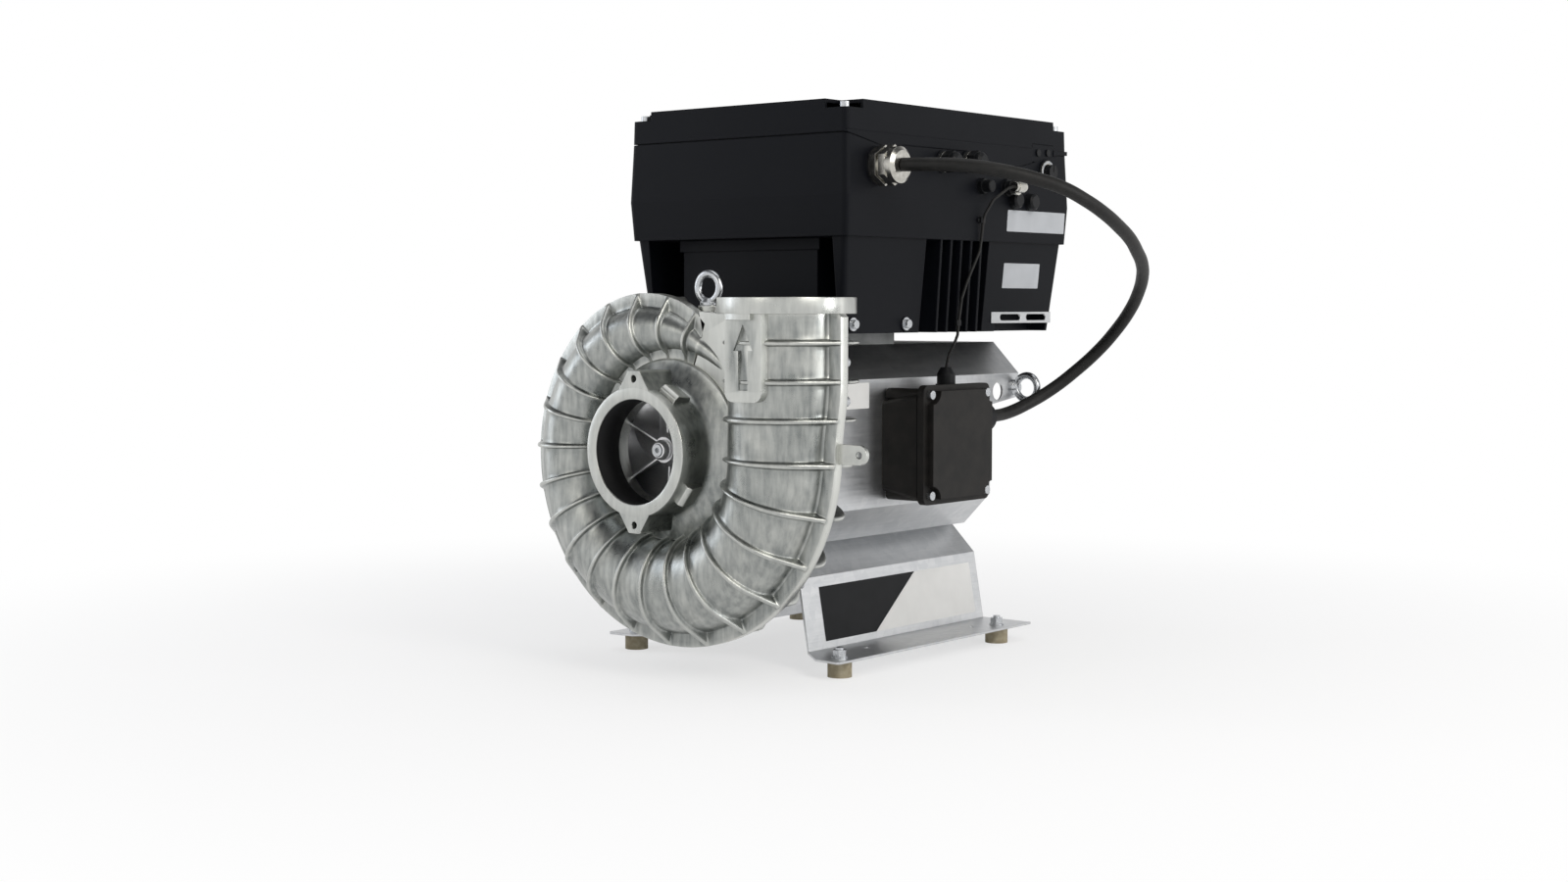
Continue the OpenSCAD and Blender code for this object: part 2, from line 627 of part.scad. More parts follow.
// Active parts of the motor
air_gap = 0.8;
stack_y0 = -110;
stack_y1 = 70;
rotor_r = 51.2;
end_ring_l = 10;
end_ring_r = 38;
stator_r = frame_r - wall;
slot_r = 76;
winding_r = 54;
winding_l = 25;
rotor_end_r = 49;
module rotor_core() color(col_steel) on_axis(0) turned([[core_r, stack_y0], [end_ring_r, stack_y0],
  [end_ring_r, stack_y0 - end_ring_l], [rotor_end_r, stack_y0 - end_ring_l], [rotor_end_r, stack_y0],
  [rotor_r, stack_y0], [rotor_r, stack_y1], [rotor_end_r, stack_y1], [rotor_end_r, stack_y1 + end_ring_l],
  [end_ring_r, stack_y1 + end_ring_l], [end_ring_r, stack_y1], [core_r, stack_y1]]);
module stator_core() color(col_steel) on_axis(0) turned([[rotor_r + air_gap, stack_y0], [stator_r, stack_y0],
  [stator_r, stack_y1], [rotor_r + air_gap, stack_y1]]);
module stator_windings() color(col_copper) for (y = [stack_y0 - winding_l, stack_y1])
  on_axis(y) ring(slot_r, winding_r, winding_l);

// Motor frame with its cooling fins, feet and the neck under the terminal box
frame_y0 = -150;
frame_y1 = 104;
fin_n = 24;
fin_t = 3;
fin_r = 98;
fin_y0 = -145;
fin_y1 = 100;
pad_x0 = 24;
pad_x1 = 48;
bolt_x = 36;
bolt_ys = [-100, 60];
pad_l = 20;
frame_bolt_r = 4;
frame_bolt_deep = 14;
neck_y0 = 14;
neck_y1 = 58;
neck_z0 = 208;
neck_z1 = 248;
duct_r = 14;
duct_z = 228;
shroud_in_z = shaft_h - shroud_hh + sheet_t;
module motor_frame() color(col_cast) difference() {
  union() {
    on_axis(frame_y0) disc(frame_r, frame_y1 - frame_y0, fn_round);
    for (i = [0:fin_n - 1]) on_axis(0) rotate([0, 0, (i + 0.5) * 360 / fin_n])
      translate([0, -fin_t / 2, fin_y0]) cube([fin_r, fin_t, fin_y1 - fin_y0]);
    for (s = [-1, 1], y = bolt_ys)
      block(s > 0 ? [pad_x0, pad_x1] : [-pad_x1, -pad_x0], [y - pad_l / 2, y + pad_l / 2], [shroud_in_z, shaft_h - frame_r + pad_l]);
    block([stator_r, shroud_hw], [neck_y0, neck_y1], [neck_z0, neck_z1]);
  }
  on_axis(frame_y0 - over) disc(stator_r, frame_y1 - frame_y0 + 2 * over, fn_round);
  along_x(stator_r - duct_r, (neck_y0 + neck_y1) / 2, duct_z) disc(duct_r, shroud_hw - stator_r + duct_r + over);
  for (s = [-1, 1], y = bolt_ys) translate([s * bolt_x, y, shroud_in_z - over]) disc(frame_bolt_r, frame_bolt_deep + over);
}

// End shields: the front one also carries the scroll
front_shield_y = split_y + back_v;
shield_bore_r = 17.5;
shield_wall = 4;
spigot_l = 4;
flange_w = 12;
front_l = frame_y0 - front_shield_y;
shield_waist_r = 66;
shield_flare_r = 72;
shield_in_r = 67;
shield_in_waist_r = 61;
pocket_wall_r = 39;
pocket_l = 20;
pocket_rear_l = 38;
shield_flare_l = 46;
module front_end_shield() color(col_cast) difference() {
  on_axis(front_shield_y) turned([[shield_bore_r, 0], [cone_r, 0], [cone_r, flange_w], [shield_waist_r, flange_w],
    [shield_flare_r, shield_flare_l], [frame_r, front_l - 2 * spigot_l], [frame_r, front_l], [stator_r, front_l],
    [stator_r, front_l - spigot_l], [shield_in_r, front_l - 2 * spigot_l], [shield_in_waist_r, pocket_l - shield_wall / 2],
    [pocket_wall_r, pocket_l - shield_wall / 2], [pocket_wall_r, pocket_rear_l], [bearing_r, pocket_rear_l],
    [bearing_r, pocket_l], [shield_bore_r, pocket_l]]);
  on_axis(front_shield_y - over) for (a = [45:90:315]) rotate([0, 0, a])
    translate([flange_stud_pitch_r, 0, 0]) disc(flange_stud_r + screw_clear, flange_w + 2 * over);
}
rear_rim_l = 10;
rear_knee_r = 60;
rear_knee_l = 24;
rear_hub_r = 42;
rear_hub_l = 34;
rear_pocket_l = 14;
rear_pocket_r = 40;
rear_spigot_r = 76;
rear_shield_y = frame_y1;
module rear_end_shield() color(col_cast) on_axis(rear_shield_y) turned([[stator_r, -2 * spigot_l], [stator_r, 0],
  [frame_r, 0], [frame_r, rear_rim_l], [rear_knee_r, rear_knee_l], [rear_hub_r, rear_hub_l],
  [shield_bore_r, rear_hub_l], [shield_bore_r, rear_hub_l - shield_wall], [bearing_r, rear_hub_l - shield_wall],
  [bearing_r, rear_pocket_l], [rear_pocket_r, rear_pocket_l], [rear_pocket_r, rear_pocket_l + 2 * shield_wall],
  [rear_knee_r - shield_wall / 2, rear_knee_l - 2 * shield_wall], [rear_spigot_r, shield_wall],
  [rear_spigot_r, -2 * spigot_l]]);

// Cooling fan on the rear end of the shaft, and its cowl
fan_y0 = 145;
fan_y1 = 169;
fan_hub_r = 20;
fan_r = 80;
fan_disc_t = 3;
fan_blade_n = 7;
fan_blade_t = 2.5;
module motor_fan() color(col_plastic) difference() {
  on_axis(fan_y0) union() {
    disc(fan_hub_r, fan_y1 - fan_y0);
    disc(fan_r - fan_hub_r, fan_disc_t, fn_round);
    for (i = [0:fan_blade_n - 1]) rotate([0, 0, (i + 0.3) * 360 / fan_blade_n])
      translate([fan_hub_r - fan_blade_t, -fan_blade_t / 2, fan_disc_t / 2])
        cube([fan_r - fan_hub_r, fan_blade_t, fan_y1 - fan_y0 - fan_disc_t]);
  }
  on_axis(fan_y0 - over) disc(fan_seat_r, fan_y1 - fan_y0 + 2 * over);
}
cowl_t = 2;
cowl_y0 = 106;
cowl_y1 = 178;
grille_rings = [[18, 28], [34, 44], [50, 60], [66, 76]];
grille_bar_w = 6;
module fan_cowl() color(col_black) difference() {
  on_axis(cowl_y0) disc(frame_r + cowl_t, cowl_y1 - cowl_y0, fn_round);
  on_axis(cowl_y0 - over) disc(frame_r, cowl_y1 - cowl_y0 - cowl_t + over, fn_round);
  on_axis(cowl_y1 - cowl_t - over) difference() {
    for (g = grille_rings) ring(g[1], g[0], cowl_t + 2 * over);
    for (a = [0, 45, 90, 135]) rotate([0, 0, a]) translate([-frame_r, -grille_bar_w / 2, -over])
      cube([2 * frame_r, grille_bar_w, cowl_t + 4 * over]);
  }
}

// Folded sheet housing round the motor: eight-sided, open at both ends
fold_in = 35;
side_hh = 68;
upper_z = 264;
lift_hole_r = 10;
lift_y = 197;
lift_z = 278;
rear_eye_y = 230;
rear_eye_z = 281.6;
slant_top_z = 271;
module octagon(inset) {
  w = shroud_hw - inset;
  h = shroud_hh - inset;
  k = inset * tan(22.5);
  polygon([for (c = [[w, side_hh - k], [shroud_hw - fold_in - k, h], [-shroud_hw + fold_in + k, h], [-w, side_hh - k],
    [-w, -side_hh + k], [-shroud_hw + fold_in + k, -h], [shroud_hw - fold_in - k, -h], [w, -side_hh + k]])
    [c[0], shaft_h + c[1]]]);
}
roof_duct_y = -20;
module motor_shroud() color(col_sheet) difference() {
  upright(shroud_y0, shroud_y2) octagon(0);
  upright(shroud_y0 - over, shroud_y2 + over) octagon(sheet_t);
  // Behind the motor only the roof and the upper sides go on, as lifting lugs
  block([-shroud_hw - over, shroud_hw + over], [shroud_y1, shroud_y2 + over], [0, upper_z]);
  translate([-shroud_hw - over, 0, 0]) rotate([90, 0, 90]) linear_extrude(2 * shroud_hw + 2 * over)
    polygon([[shroud_y1 - over, upper_z - over], [shroud_y2 + over, upper_z - over], [shroud_y2 + over, slant_top_z]]);
  for (s = [-1, 1]) {
    along_x(s * shroud_hw - 2 * sheet_t, lift_y, lift_z) disc(lift_hole_r, 4 * sheet_t);
    along_x(s * shroud_hw - 2 * sheet_t, rear_eye_y, rear_eye_z) disc(eye_thread_r + seat, 4 * sheet_t);
  }
  block([shroud_hw - 2 * sheet_t, shroud_hw + over], [neck_y0 - seat, neck_y1 + seat], [neck_z0 - seat, neck_z1 + seat]);
  for (s = [-1, 1], y = bolt_ys) translate([s * bolt_x, y, shroud_in_z - sheet_t - over])
    disc(frame_bolt_r + seat, sheet_t + 2 * over);
  translate([0, roof_duct_y, shaft_h + shroud_hh - sheet_t - over]) disc(duct_r, sheet_t + 2 * over);
}

// Folded base bracket, standing on four rubber feet
base_y0 = -137;
base_y1 = 182;
base_tip_y = 184.5;
fold_x = 95;
flange_x = 159.5;
foot_h = 17;
lean_x = 81.3;
lean_z = 94;
chamfer_x = 49.5;
base_top_z = shaft_h - shroud_hh;
nose_x1 = 127.5;
nose_y1 = -165.5;
nose_x2 = 156.8;
nose_y2 = -168.6;
nose_y3 = -166;
flange_hole_r = 3;
flange_holes = [[126.2, -76.9], [131, 109.7]];
stud_r = 4;
module base_bracket() color(col_sheet) difference() {
  union() {
    // Side plates and top in one profile
    upright(base_y0, base_y1) difference() {
      polygon([for (s = [1, -1]) each let(p = [[fold_x + sheet_t, foot_h], [lean_x + sheet_t, lean_z],
        [chamfer_x + sheet_t / 2, base_top_z]]) [for (i = [0:2]) let(q = s > 0 ? p[i] : p[2 - i]) [s * q[0], q[1]]]]);
      polygon([for (s = [1, -1]) each let(p = [[fold_x, foot_h - over], [lean_x, lean_z - sheet_t / 2],
        [chamfer_x - sheet_t / 2, base_top_z - sheet_t]])
        [for (i = [0:2]) let(q = s > 0 ? p[i] : p[2 - i]) [s * q[0], q[1]]]]);
    }
    for (s = [-1, 1]) translate([0, 0, foot_h]) linear_extrude(sheet_t)
      polygon([for (p = [[fold_x, base_y0], [nose_x1, nose_y1], [nose_x2, nose_y2], [flange_x, nose_y3],
        [flange_x, base_tip_y], [fold_x, base_tip_y]]) [s * p[0], p[1]]]);
  }
  for (sx = [-1, 1], sy = [-1, 1]) translate([sx * foot_dx / 2, sy * foot_dy / 2, foot_h - over])
    disc(stud_r + seat, sheet_t + 2 * over);
  for (s = [-1, 1], h = flange_holes) translate([s * h[0], h[1], foot_h - over]) disc(flange_hole_r, sheet_t + 2 * over);
  for (s = [-1, 1], y = bolt_ys) translate([s * bolt_x, y, base_top_z - sheet_t - over])
    disc(frame_bolt_r + seat, sheet_t + 2 * over);
}
bolt_head_w = 13;
bolt_head_h = 6;
module frame_bolts() color(col_steel) for (s = [-1, 1], y = bolt_ys)
  translate([s * bolt_x, y, base_top_z - sheet_t - bolt_head_h]) {
    hex(bolt_head_w, bolt_head_h);
    disc(frame_bolt_r, bolt_head_h + 2 * sheet_t + frame_bolt_deep - over);
  }

// Rubber feet with their studs, washers and nuts
rubber_r = 12.5;
rubber_thread_r = 3.4;
rubber_thread_l = 8;
stud_l = 13;
washer_r = 8;
washer_t = 1.6;
nut_w = 13;
nut_h = 6.5;
module at_feet(z) {
  for (sx = [-1, 1], sy = [-1, 1]) translate([sx * foot_dx / 2, sy * foot_dy / 2, z]) children();
}
module rubber_feet() color(col_rubber) difference() {
  at_feet(0) disc(rubber_r, foot_h);
  at_feet(-over) disc(rubber_thread_r, rubber_thread_l + over);
}
module foot_studs() color(col_steel) at_feet(foot_h) disc(stud_r, stud_l);
module foot_washers() color(col_steel) at_feet(foot_h + sheet_t) ring(washer_r, stud_r + run_gap, washer_t);
module foot_nuts() color(col_steel) at_feet(foot_h + sheet_t + washer_t) difference() {
  hex(nut_w, nut_h);
  translate([0, 0, -over]) disc(stud_r + run_gap, nut_h + 2 * over);
}

// Block that carries the inverter on the roof of the shroud, with a wire duct
adapter_hw = 70;
adapter_y0 = -80;
adapter_y1 = 45;
adapter_screw_r = 4;
roof_z = shaft_h + shroud_hh;
module adapter_block() color(col_cast) difference() {
  block([-adapter_hw, adapter_hw], [adapter_y0, adapter_y1], [roof_z, inv_z0]);
  translate([0, roof_duct_y, roof_z - over]) disc(duct_r, inv_z0 - roof_z + 2 * over);
}

// Loft through rounded rectangles; a level is [height, inset along x, inset along y]
corner_n = 4;
module tower(levels, x, y, r) {
  turns = [[1, 1, 0], [-1, 1, 90], [-1, -1, 180], [1, -1, 270]];
  m = 4 * (corner_n + 1);
  points = [for (l = levels, c = turns, i = [0:corner_n]) let(a = c[2] + i * 90 / corner_n,
    cx = c[0] > 0 ? x[1] - l[1] - r : x[0] + l[1] + r, cy = c[1] > 0 ? y[1] - l[2] - r : y[0] + l[2] + r)
    [cx + r * cos(a), cy + r * sin(a), l[0]]];
  top = (len(levels) - 1) * m;
  polyhedron(points, concat([[for (i = [0:m - 1]) i]], [[for (i = [0:m - 1]) top + m - 1 - i]],
    [for (s = [0:len(levels) - 2], i = [0:m - 1]) let(a = s * m + i, b = s * m + (i + 1) % m)
      each [[a, a + m, b], [b, a + m, b + m]]]));
}

// Inverter housing: electronics above, cooling channels and fins below
waist_z = 445.5;
belly_z = 487;
foot_inset = 14;
waist_inset = 4;
belly_out = 2.6;
house_r = 6;
floor_z = 455;
cavity_in = 6;
recess_hw = 126;
core_hw = 92;
core_front_y = -118;
channel_y1 = 121;
slot_y0 = 2.6;
cooling_n = 5;
cooling_t = 3.5;
cooling_y = 28;
cooling_pitch = 18.75;
cooling_top_out = 146;
cooling_foot_out = 139.5;
strip_hw = 96;
strip_y = -120;
strip_z0 = 433;
strip_z1 = 445;
post_w = 18;
lid_screw_in = 11;
lid_screw_r = 2.5;
lid_screw_l = 22;
pad_x = 150;
pad_ground = 3;
cable_y = -92;
cable_z = 517;
gland_bore_r = 12;
blind_places = [[23, 527], [70, 529.6]];
blind_bore_r = 7;
sensor_place = [94.6, 504.5];
sensor_bore_r = 6;
plug_place = [145, 505];
cap_places = [[158.6, 492], [190.6, 491]];
knob_place = [226, 525.6];
knob_shaft_r = 3;
apron_x = 144;
apron_out_x = 147.6;
apron_line = [[-141, 549], [-75, 537], [-45, 541], [88, 541], [120, 530], [175, 530], [207, 537],
  [253, 546.5], [273, 547]];
tab_y0 = 200;
tab_y1 = 244;
tab_z1 = 556.5;
tab_x0 = 141;
side_screw_ys = [-114.5, -23];
side_screw_z = 356.4;
side_screw_x = 135;
side_screw_r = 3;
side_screw_l = 8;
side_pad_r = 8;
rail_x0 = 133.4;
rail_x1 = 135.4;
rail_y0 = 138;
rail_y1 = 259;
rail_z0 = 356;
rail_z1 = 368.5;
pocket_x = 112;
pocket_in = 8;
standoff_r = 4;
standoff_x = 110;
standoff_ys = [-110, 66, 242];
board_z = 480;
board_x = 125;
board_y0 = -124;
board_y1 = 256;
board_t = 2;
lid_clear = 0.25;
module apron(x0, x1, drop) {
  translate([x0, 0, 0]) rotate([90, 0, 90]) linear_extrude(x1 - x0)
    polygon(concat([for (p = apron_line) [p[0], p[1] - drop]],
      [[inv_y1, inv_seam_z + pad_ground], [inv_y0, inv_seam_z + pad_ground]]));
}
module lid_corners() {
  for (sx = [-1, 1], y = [inv_y0, inv_y1]) let(sy = y == inv_y0 ? 1 : -1)
    translate([sx * (inv_hw - lid_screw_in), y + sy * lid_screw_in, 0]) children();
}
module inverter_base() color(col_black) difference() {
  union() {
    inverter_shell();
    block([tab_x0, inv_hw], [tab_y0, tab_y1], [inv_seam_z - 4 * pad_ground, tab_z1]);
  }
  lid_corners() translate([0, 0, inv_seam_z - lid_screw_l]) disc(lid_screw_r, lid_screw_l + over);
  along_x(inv_hw - 2 * cavity_in, cable_y, cable_z) disc(gland_bore_r, 3 * cavity_in);
  for (b = blind_places) along_x(inv_hw - 2 * cavity_in, b[0], b[1]) disc(blind_bore_r, 3 * cavity_in);
  along_x(inv_hw - 2 * cavity_in, sensor_place[0], sensor_place[1]) disc(sensor_bore_r, 3 * cavity_in);
  along_x(inv_hw - 2 * cavity_in, plug_place[0], plug_place[1]) disc(sensor_bore_r, 3 * cavity_in);
  along_x(inv_hw - 2 * cavity_in, knob_place[0], knob_place[1]) disc(knob_shaft_r + run_gap, 3 * cavity_in);
  for (s = [-1, 1], y = side_screw_ys) along_x(s * side_screw_x - (s > 0 ? side_screw_l : over), y, side_screw_z)
    disc(side_screw_r, side_screw_l + over);
  for (s = [-1, 1], y = side_screw_ys) along_x(s > 0 ? side_screw_x : -side_screw_x - side_screw_l, y, side_screw_z)
    disc(side_pad_r, side_screw_l);
  // Seat of the mounting strip, and the pocket behind it
  block([rail_x0, inv_hw], [rail_y0, rail_y1], [rail_z0, rail_z1]);
  block([pocket_x, inv_hw], [rail_y0 + pocket_in, rail_y1 - pocket_in], [inv_z0 - over, rail_z1]);
  block([pocket_x, rail_x0], [rail_y0 + pocket_in, rail_y1 - pocket_in], [inv_z0 - over, rail_z1 + pocket_in]);
  translate([0, roof_duct_y, inv_z0 - over]) disc(duct_r, floor_z - inv_z0 + 2 * over);
}
module inverter_shell() difference() {
  union() {
    difference() {
      tower([[inv_z0, foot_inset, foot_inset], [waist_z, waist_inset, waist_inset], [waist_z, 0, 0],
        [belly_z, -belly_out, -belly_out], [inv_seam_z, 0, 0]], [-inv_hw, inv_hw], [inv_y0, inv_y1], house_r);
      block([-inv_hw + cavity_in, inv_hw - cavity_in], [inv_y0 + cavity_in, inv_y1 - cavity_in],
        [floor_z, inv_seam_z + over]);
      // Recess in front, channels along both sides, and the openings at the fins
      block([-recess_hw, recess_hw], [inv_y0 - foot_inset, core_front_y], [inv_z0 - over, waist_z]);
      for (s = [-1, 1]) {
        block(s > 0 ? [core_hw, recess_hw] : [-recess_hw, -core_hw], [core_front_y - over, channel_y1],
          [inv_z0 - over, waist_z]);
        block(s > 0 ? [core_hw, inv_hw + over] : [-inv_hw - over, -core_hw], [slot_y0, channel_y1],
          [inv_z0 - over, waist_z]);
      }
    }
    block([-strip_hw, strip_hw], [strip_y, core_front_y + over], [strip_z0, strip_z1]);
    for (s = [-1, 1], i = [0:cooling_n - 1]) let(y = cooling_y + i * cooling_pitch)
      upright(y - cooling_t, y) polygon([[s * (core_hw - over), inv_z0], [s * cooling_foot_out, inv_z0],
        [s * cooling_top_out, waist_z], [s * cooling_top_out, waist_z + over], [s * (core_hw - over), waist_z + over]]);
    lid_corners() translate([-post_w / 2, -post_w / 2, floor_z - over])
      cube([post_w, post_w, inv_seam_z - floor_z + over - pad_ground]);
    for (x = [-standoff_x, standoff_x], y = standoff_ys) translate([x, y, floor_z - over])
      disc(standoff_r, board_z - floor_z + over);
    for (p = concat([[cable_y, cable_z, 20]], [for (b = blind_places) [b[0], b[1], 12]],
      [[sensor_place[0], sensor_place[1], 9], [plug_place[0], plug_place[1], 10], [knob_place[0], knob_place[1], 14]],
      [for (c = cap_places) [c[0], c[1], 10]]))
      along_x(inv_hw - cavity_in, p[0], p[1]) disc(p[2], pad_x - inv_hw + cavity_in);
    for (s = [-1, 1], y = side_screw_ys) along_x(s * side_screw_x - (s > 0 ? pad_ground : 0), y, side_screw_z)
      disc(side_pad_r, pad_ground);
  }
  apron(apron_x - lid_clear, inv_hw + 2 * pad_ground, lid_clear);
}

// Lid, with its four corners let down for the screws
notch_w = 28;
notch_floor_z = 574;
lid_wall = 4;
gasket_t = 1;
gasket_in = 6;
gasket_w = 3.5;
lid_z0 = inv_seam_z + gasket_t;
lid_top_in = 0.8;
module inverter_lid() color(col_black) difference() {
  union() {
    difference() {
      tower([[lid_z0, 0, 0], [inv_z1, lid_top_in, lid_top_in]], [-inv_hw, inv_hw], [inv_y0, inv_y1], house_r);
      difference() {
        block([-inv_hw + lid_wall, inv_hw - lid_wall], [inv_y0 + lid_wall, inv_y1 - lid_wall],
          [lid_z0 - over, inv_z1 - lid_wall]);
        lid_corners() translate([-notch_w / 2, -notch_w / 2, 0]) cube([notch_w, notch_w, inv_z1]);
      }
    }
    apron(apron_x, apron_out_x, 0);
  }
  for (sx = [-1, 1], sy = [-1, 1])
    block(sx > 0 ? [inv_hw - notch_w, inv_hw + over] : [-inv_hw - over, -inv_hw + notch_w],
      sy > 0 ? [inv_y1 - notch_w, inv_y1 + over] : [inv_y0 - over, inv_y0 + notch_w], [notch_floor_z, inv_z1 + over]);
  block([tab_x0 - seat, inv_hw + over], [tab_y0 - seat, tab_y1 + seat], [inv_seam_z - 5 * pad_ground, tab_z1 + seat]);
  lid_corners() translate([0, 0, lid_z0 - over]) disc(lid_screw_r + seat, notch_floor_z - lid_z0 + 2 * over);
}
module lid_gasket() color(col_black) translate([0, (inv_y0 + inv_y1) / 2, inv_seam_z]) linear_extrude(gasket_t)
  difference() {
    rounded(2 * (apron_x - lid_clear), inv_y1 - inv_y0 - 2 * pad_ground, house_r);
    rounded(2 * (apron_x - lid_clear - gasket_w), inv_y1 - inv_y0 - 2 * (pad_ground + gasket_w), house_r);
    translate([tab_x0 - seat, tab_y0 - seat - (inv_y0 + inv_y1) / 2])
      square([inv_hw - tab_x0 + seat, tab_y1 - tab_y0 + 2 * seat]);
  }
lid_head_r = 5;
lid_head_h = 6;
module lid_screws() color(col_steel) lid_corners() {
  translate([0, 0, notch_floor_z]) disc(lid_head_r, lid_head_h);
  translate([0, 0, inv_seam_z - lid_screw_l + over]) disc(lid_screw_r, notch_floor_z - inv_seam_z + lid_screw_l);
}
side_head_r = 4.5;
side_head_h = 4;
side_washer_r = 7;
side_washer_t = 1.2;
module side_screws() color(col_steel) for (s = [-1, 1], y = side_screw_ys)
  translate([s * side_screw_x, y, side_screw_z]) rotate([0, s * 90, 0]) {
    disc(side_washer_r, side_washer_t);
    disc(side_head_r, side_washer_t + side_head_h);
    translate([0, 0, -side_screw_l + over]) disc(side_screw_r, side_screw_l);
  }
module circuit_board() color(col_board)
  block([-board_x, board_x], [board_y0, board_y1], [board_z, board_z + board_t]);
can_r = 15;
can_h = 45;
can_places = [[-80, 190], [-40, 190], [-80, 150], [-40, 150]];
module capacitors() color(col_black) for (p = can_places)
  translate([p[0], p[1], board_z + board_t]) disc(can_r, can_h);
rail_slots = [[154.6, 196], [207.8, 249]];
rail_slot_w = 7;
rail_slot_z = 362.5;
module mounting_strip() color(col_sheet) difference() {
  block([rail_x0, rail_x1], [rail_y0, rail_y1], [rail_z0, rail_z1]);
  for (s = rail_slots) translate([rail_x0 - over, 0, rail_slot_z]) rotate([90, 0, 90])
    linear_extrude(rail_x1 - rail_x0 + 2 * over) {
      translate([s[0] + rail_slot_w / 2, -rail_slot_w / 2]) square([s[1] - s[0] - rail_slot_w, rail_slot_w]);
      for (y = [s[0] + rail_slot_w / 2, s[1] - rail_slot_w / 2]) translate([y, 0])
        circle(rail_slot_w / 2, $fn = fn_small);
    }
}

// Speed knob, turning in a bore of the housing wall
knob_r = 8.5;
knob_l = 9;
knob_mark_w = 1.6;
knob_mark_deep = 0.6;
knob_shaft_in = 9;
bezel_r = 13;
bezel_in_r = 9.2;
bezel_t = 2;
knob_grip_n = 10;
knob_grip_r = 1.3;
module speed_knob() color(col_plastic) along_x(pad_x + seat, knob_place[0], knob_place[1]) {
  difference() {
    disc(knob_r, knob_l);
    translate([-knob_r, -knob_mark_w / 2, knob_l - knob_mark_deep]) cube([knob_r, knob_mark_w, knob_mark_deep + over]);
    for (i = [0:knob_grip_n - 1]) rotate([0, 0, (i + 0.5) * 360 / knob_grip_n])
      translate([knob_r + knob_grip_r / 2, 0, -over]) disc(knob_grip_r, knob_l + 2 * over);
  }
  translate([0, 0, -knob_shaft_in]) disc(knob_shaft_r, knob_shaft_in + over);
}
module knob_bezel() color(col_steel) along_x(pad_x, knob_place[0], knob_place[1]) ring(bezel_r, bezel_in_r, bezel_t);

// Blind glands with their rings, and the gland of a sensor lead
blind_r = 9.5;
blind_l = 15;
blind_dome_l = 6;
blind_thread_l = 12;
ring_r = 11;
ring_l = 4;
blind_hex_w = 20;
module blind_glands() color(col_black) for (b = blind_places) along_x(pad_x, b[0], b[1]) {
  translate([0, 0, ring_l]) hex(blind_hex_w, blind_l - ring_l - over);
  turned([[0, -blind_thread_l], [blind_bore_r - run_gap, -blind_thread_l], [blind_bore_r - run_gap, 0],
    [blind_r - over, 0], [blind_r - over, blind_l], [blind_r, blind_l], [blind_r, blind_l + blind_dome_l / 2],
    [blind_r - blind_dome_l / 2, blind_l + blind_dome_l], [0, blind_l + blind_dome_l]]);
}
module gland_rings() color(col_steel) for (b = blind_places) along_x(pad_x, b[0], b[1])
  ring(ring_r, blind_r - over, ring_l);
sensor_r = 6.5;
sensor_l = 15;
sensor_hex_w = 15;
module sensor_gland() color(col_black) along_x(pad_x, sensor_place[0], sensor_place[1]) {
  hex(sensor_hex_w, sensor_l / 3);
  turned([[0, -blind_thread_l], [sensor_bore_r - run_gap, -blind_thread_l], [sensor_bore_r - run_gap, 0],
    [sensor_r, 0], [sensor_r, sensor_l - over], [sensor_r - over, sensor_l], [0, sensor_l]]);
}

// Round socket with an elbow plug for the signal lead, and two capped sockets
socket_r = 9.5;
socket_base_l = 3;
socket_len = 8;
plug_r = 7.5;
plug_ring_r = 8.5;
plug_ring_l = 7;
plug_body_r = 6.2;
plug_elbow_x = 170;
plug_arm_y0 = 128;
plug_nut_r = 5.5;
plug_nut_l = 5;
module signal_socket() color(col_plastic) along_x(pad_x, plug_place[0], plug_place[1])
  turned([[0, -blind_thread_l], [sensor_bore_r - run_gap, -blind_thread_l], [sensor_bore_r - run_gap, 0],
    [socket_r, 0], [socket_r, socket_base_l], [plug_r, socket_base_l], [plug_r, socket_len], [0, socket_len]]);
module signal_plug() color(col_steel) {
  along_x(pad_x + socket_len, plug_place[0], plug_place[1]) disc(plug_ring_r, plug_ring_l);
  along_x(pad_x + socket_len + over, plug_place[0], plug_place[1])
    disc(plug_body_r, plug_elbow_x - pad_x - socket_len - over);
  translate([plug_elbow_x, plug_place[0], plug_place[1]]) sphere(plug_body_r, $fn = fn_small);
  translate([plug_elbow_x, plug_place[0], plug_place[1]]) rotate([90, 0, 0])
    disc(plug_body_r, plug_place[0] - plug_arm_y0 - plug_nut_l);
  translate([plug_elbow_x, plug_arm_y0 + plug_nut_l + over, plug_place[1]]) rotate([90, 0, 0])
    disc(plug_nut_r, plug_nut_l + over);
}
cap_r = 9;
cap_l = 7;
cap_dome_l = 2;
module socket_caps() color(col_plastic) for (c = cap_places) along_x(pad_x, c[0], c[1])
  turned([[0, 0], [cap_r, 0], [cap_r, cap_l], [cap_r - cap_dome_l, cap_l + cap_dome_l], [0, cap_l + cap_dome_l]]);
lid_plug_places = [[212, 547], [232, 548]];
lid_plug_r = 4;
lid_plug_l = 1.6;
module lid_plugs() color(col_plastic) for (p = lid_plug_places) along_x(inv_hw, p[0], p[1]) disc(lid_plug_r, lid_plug_l);

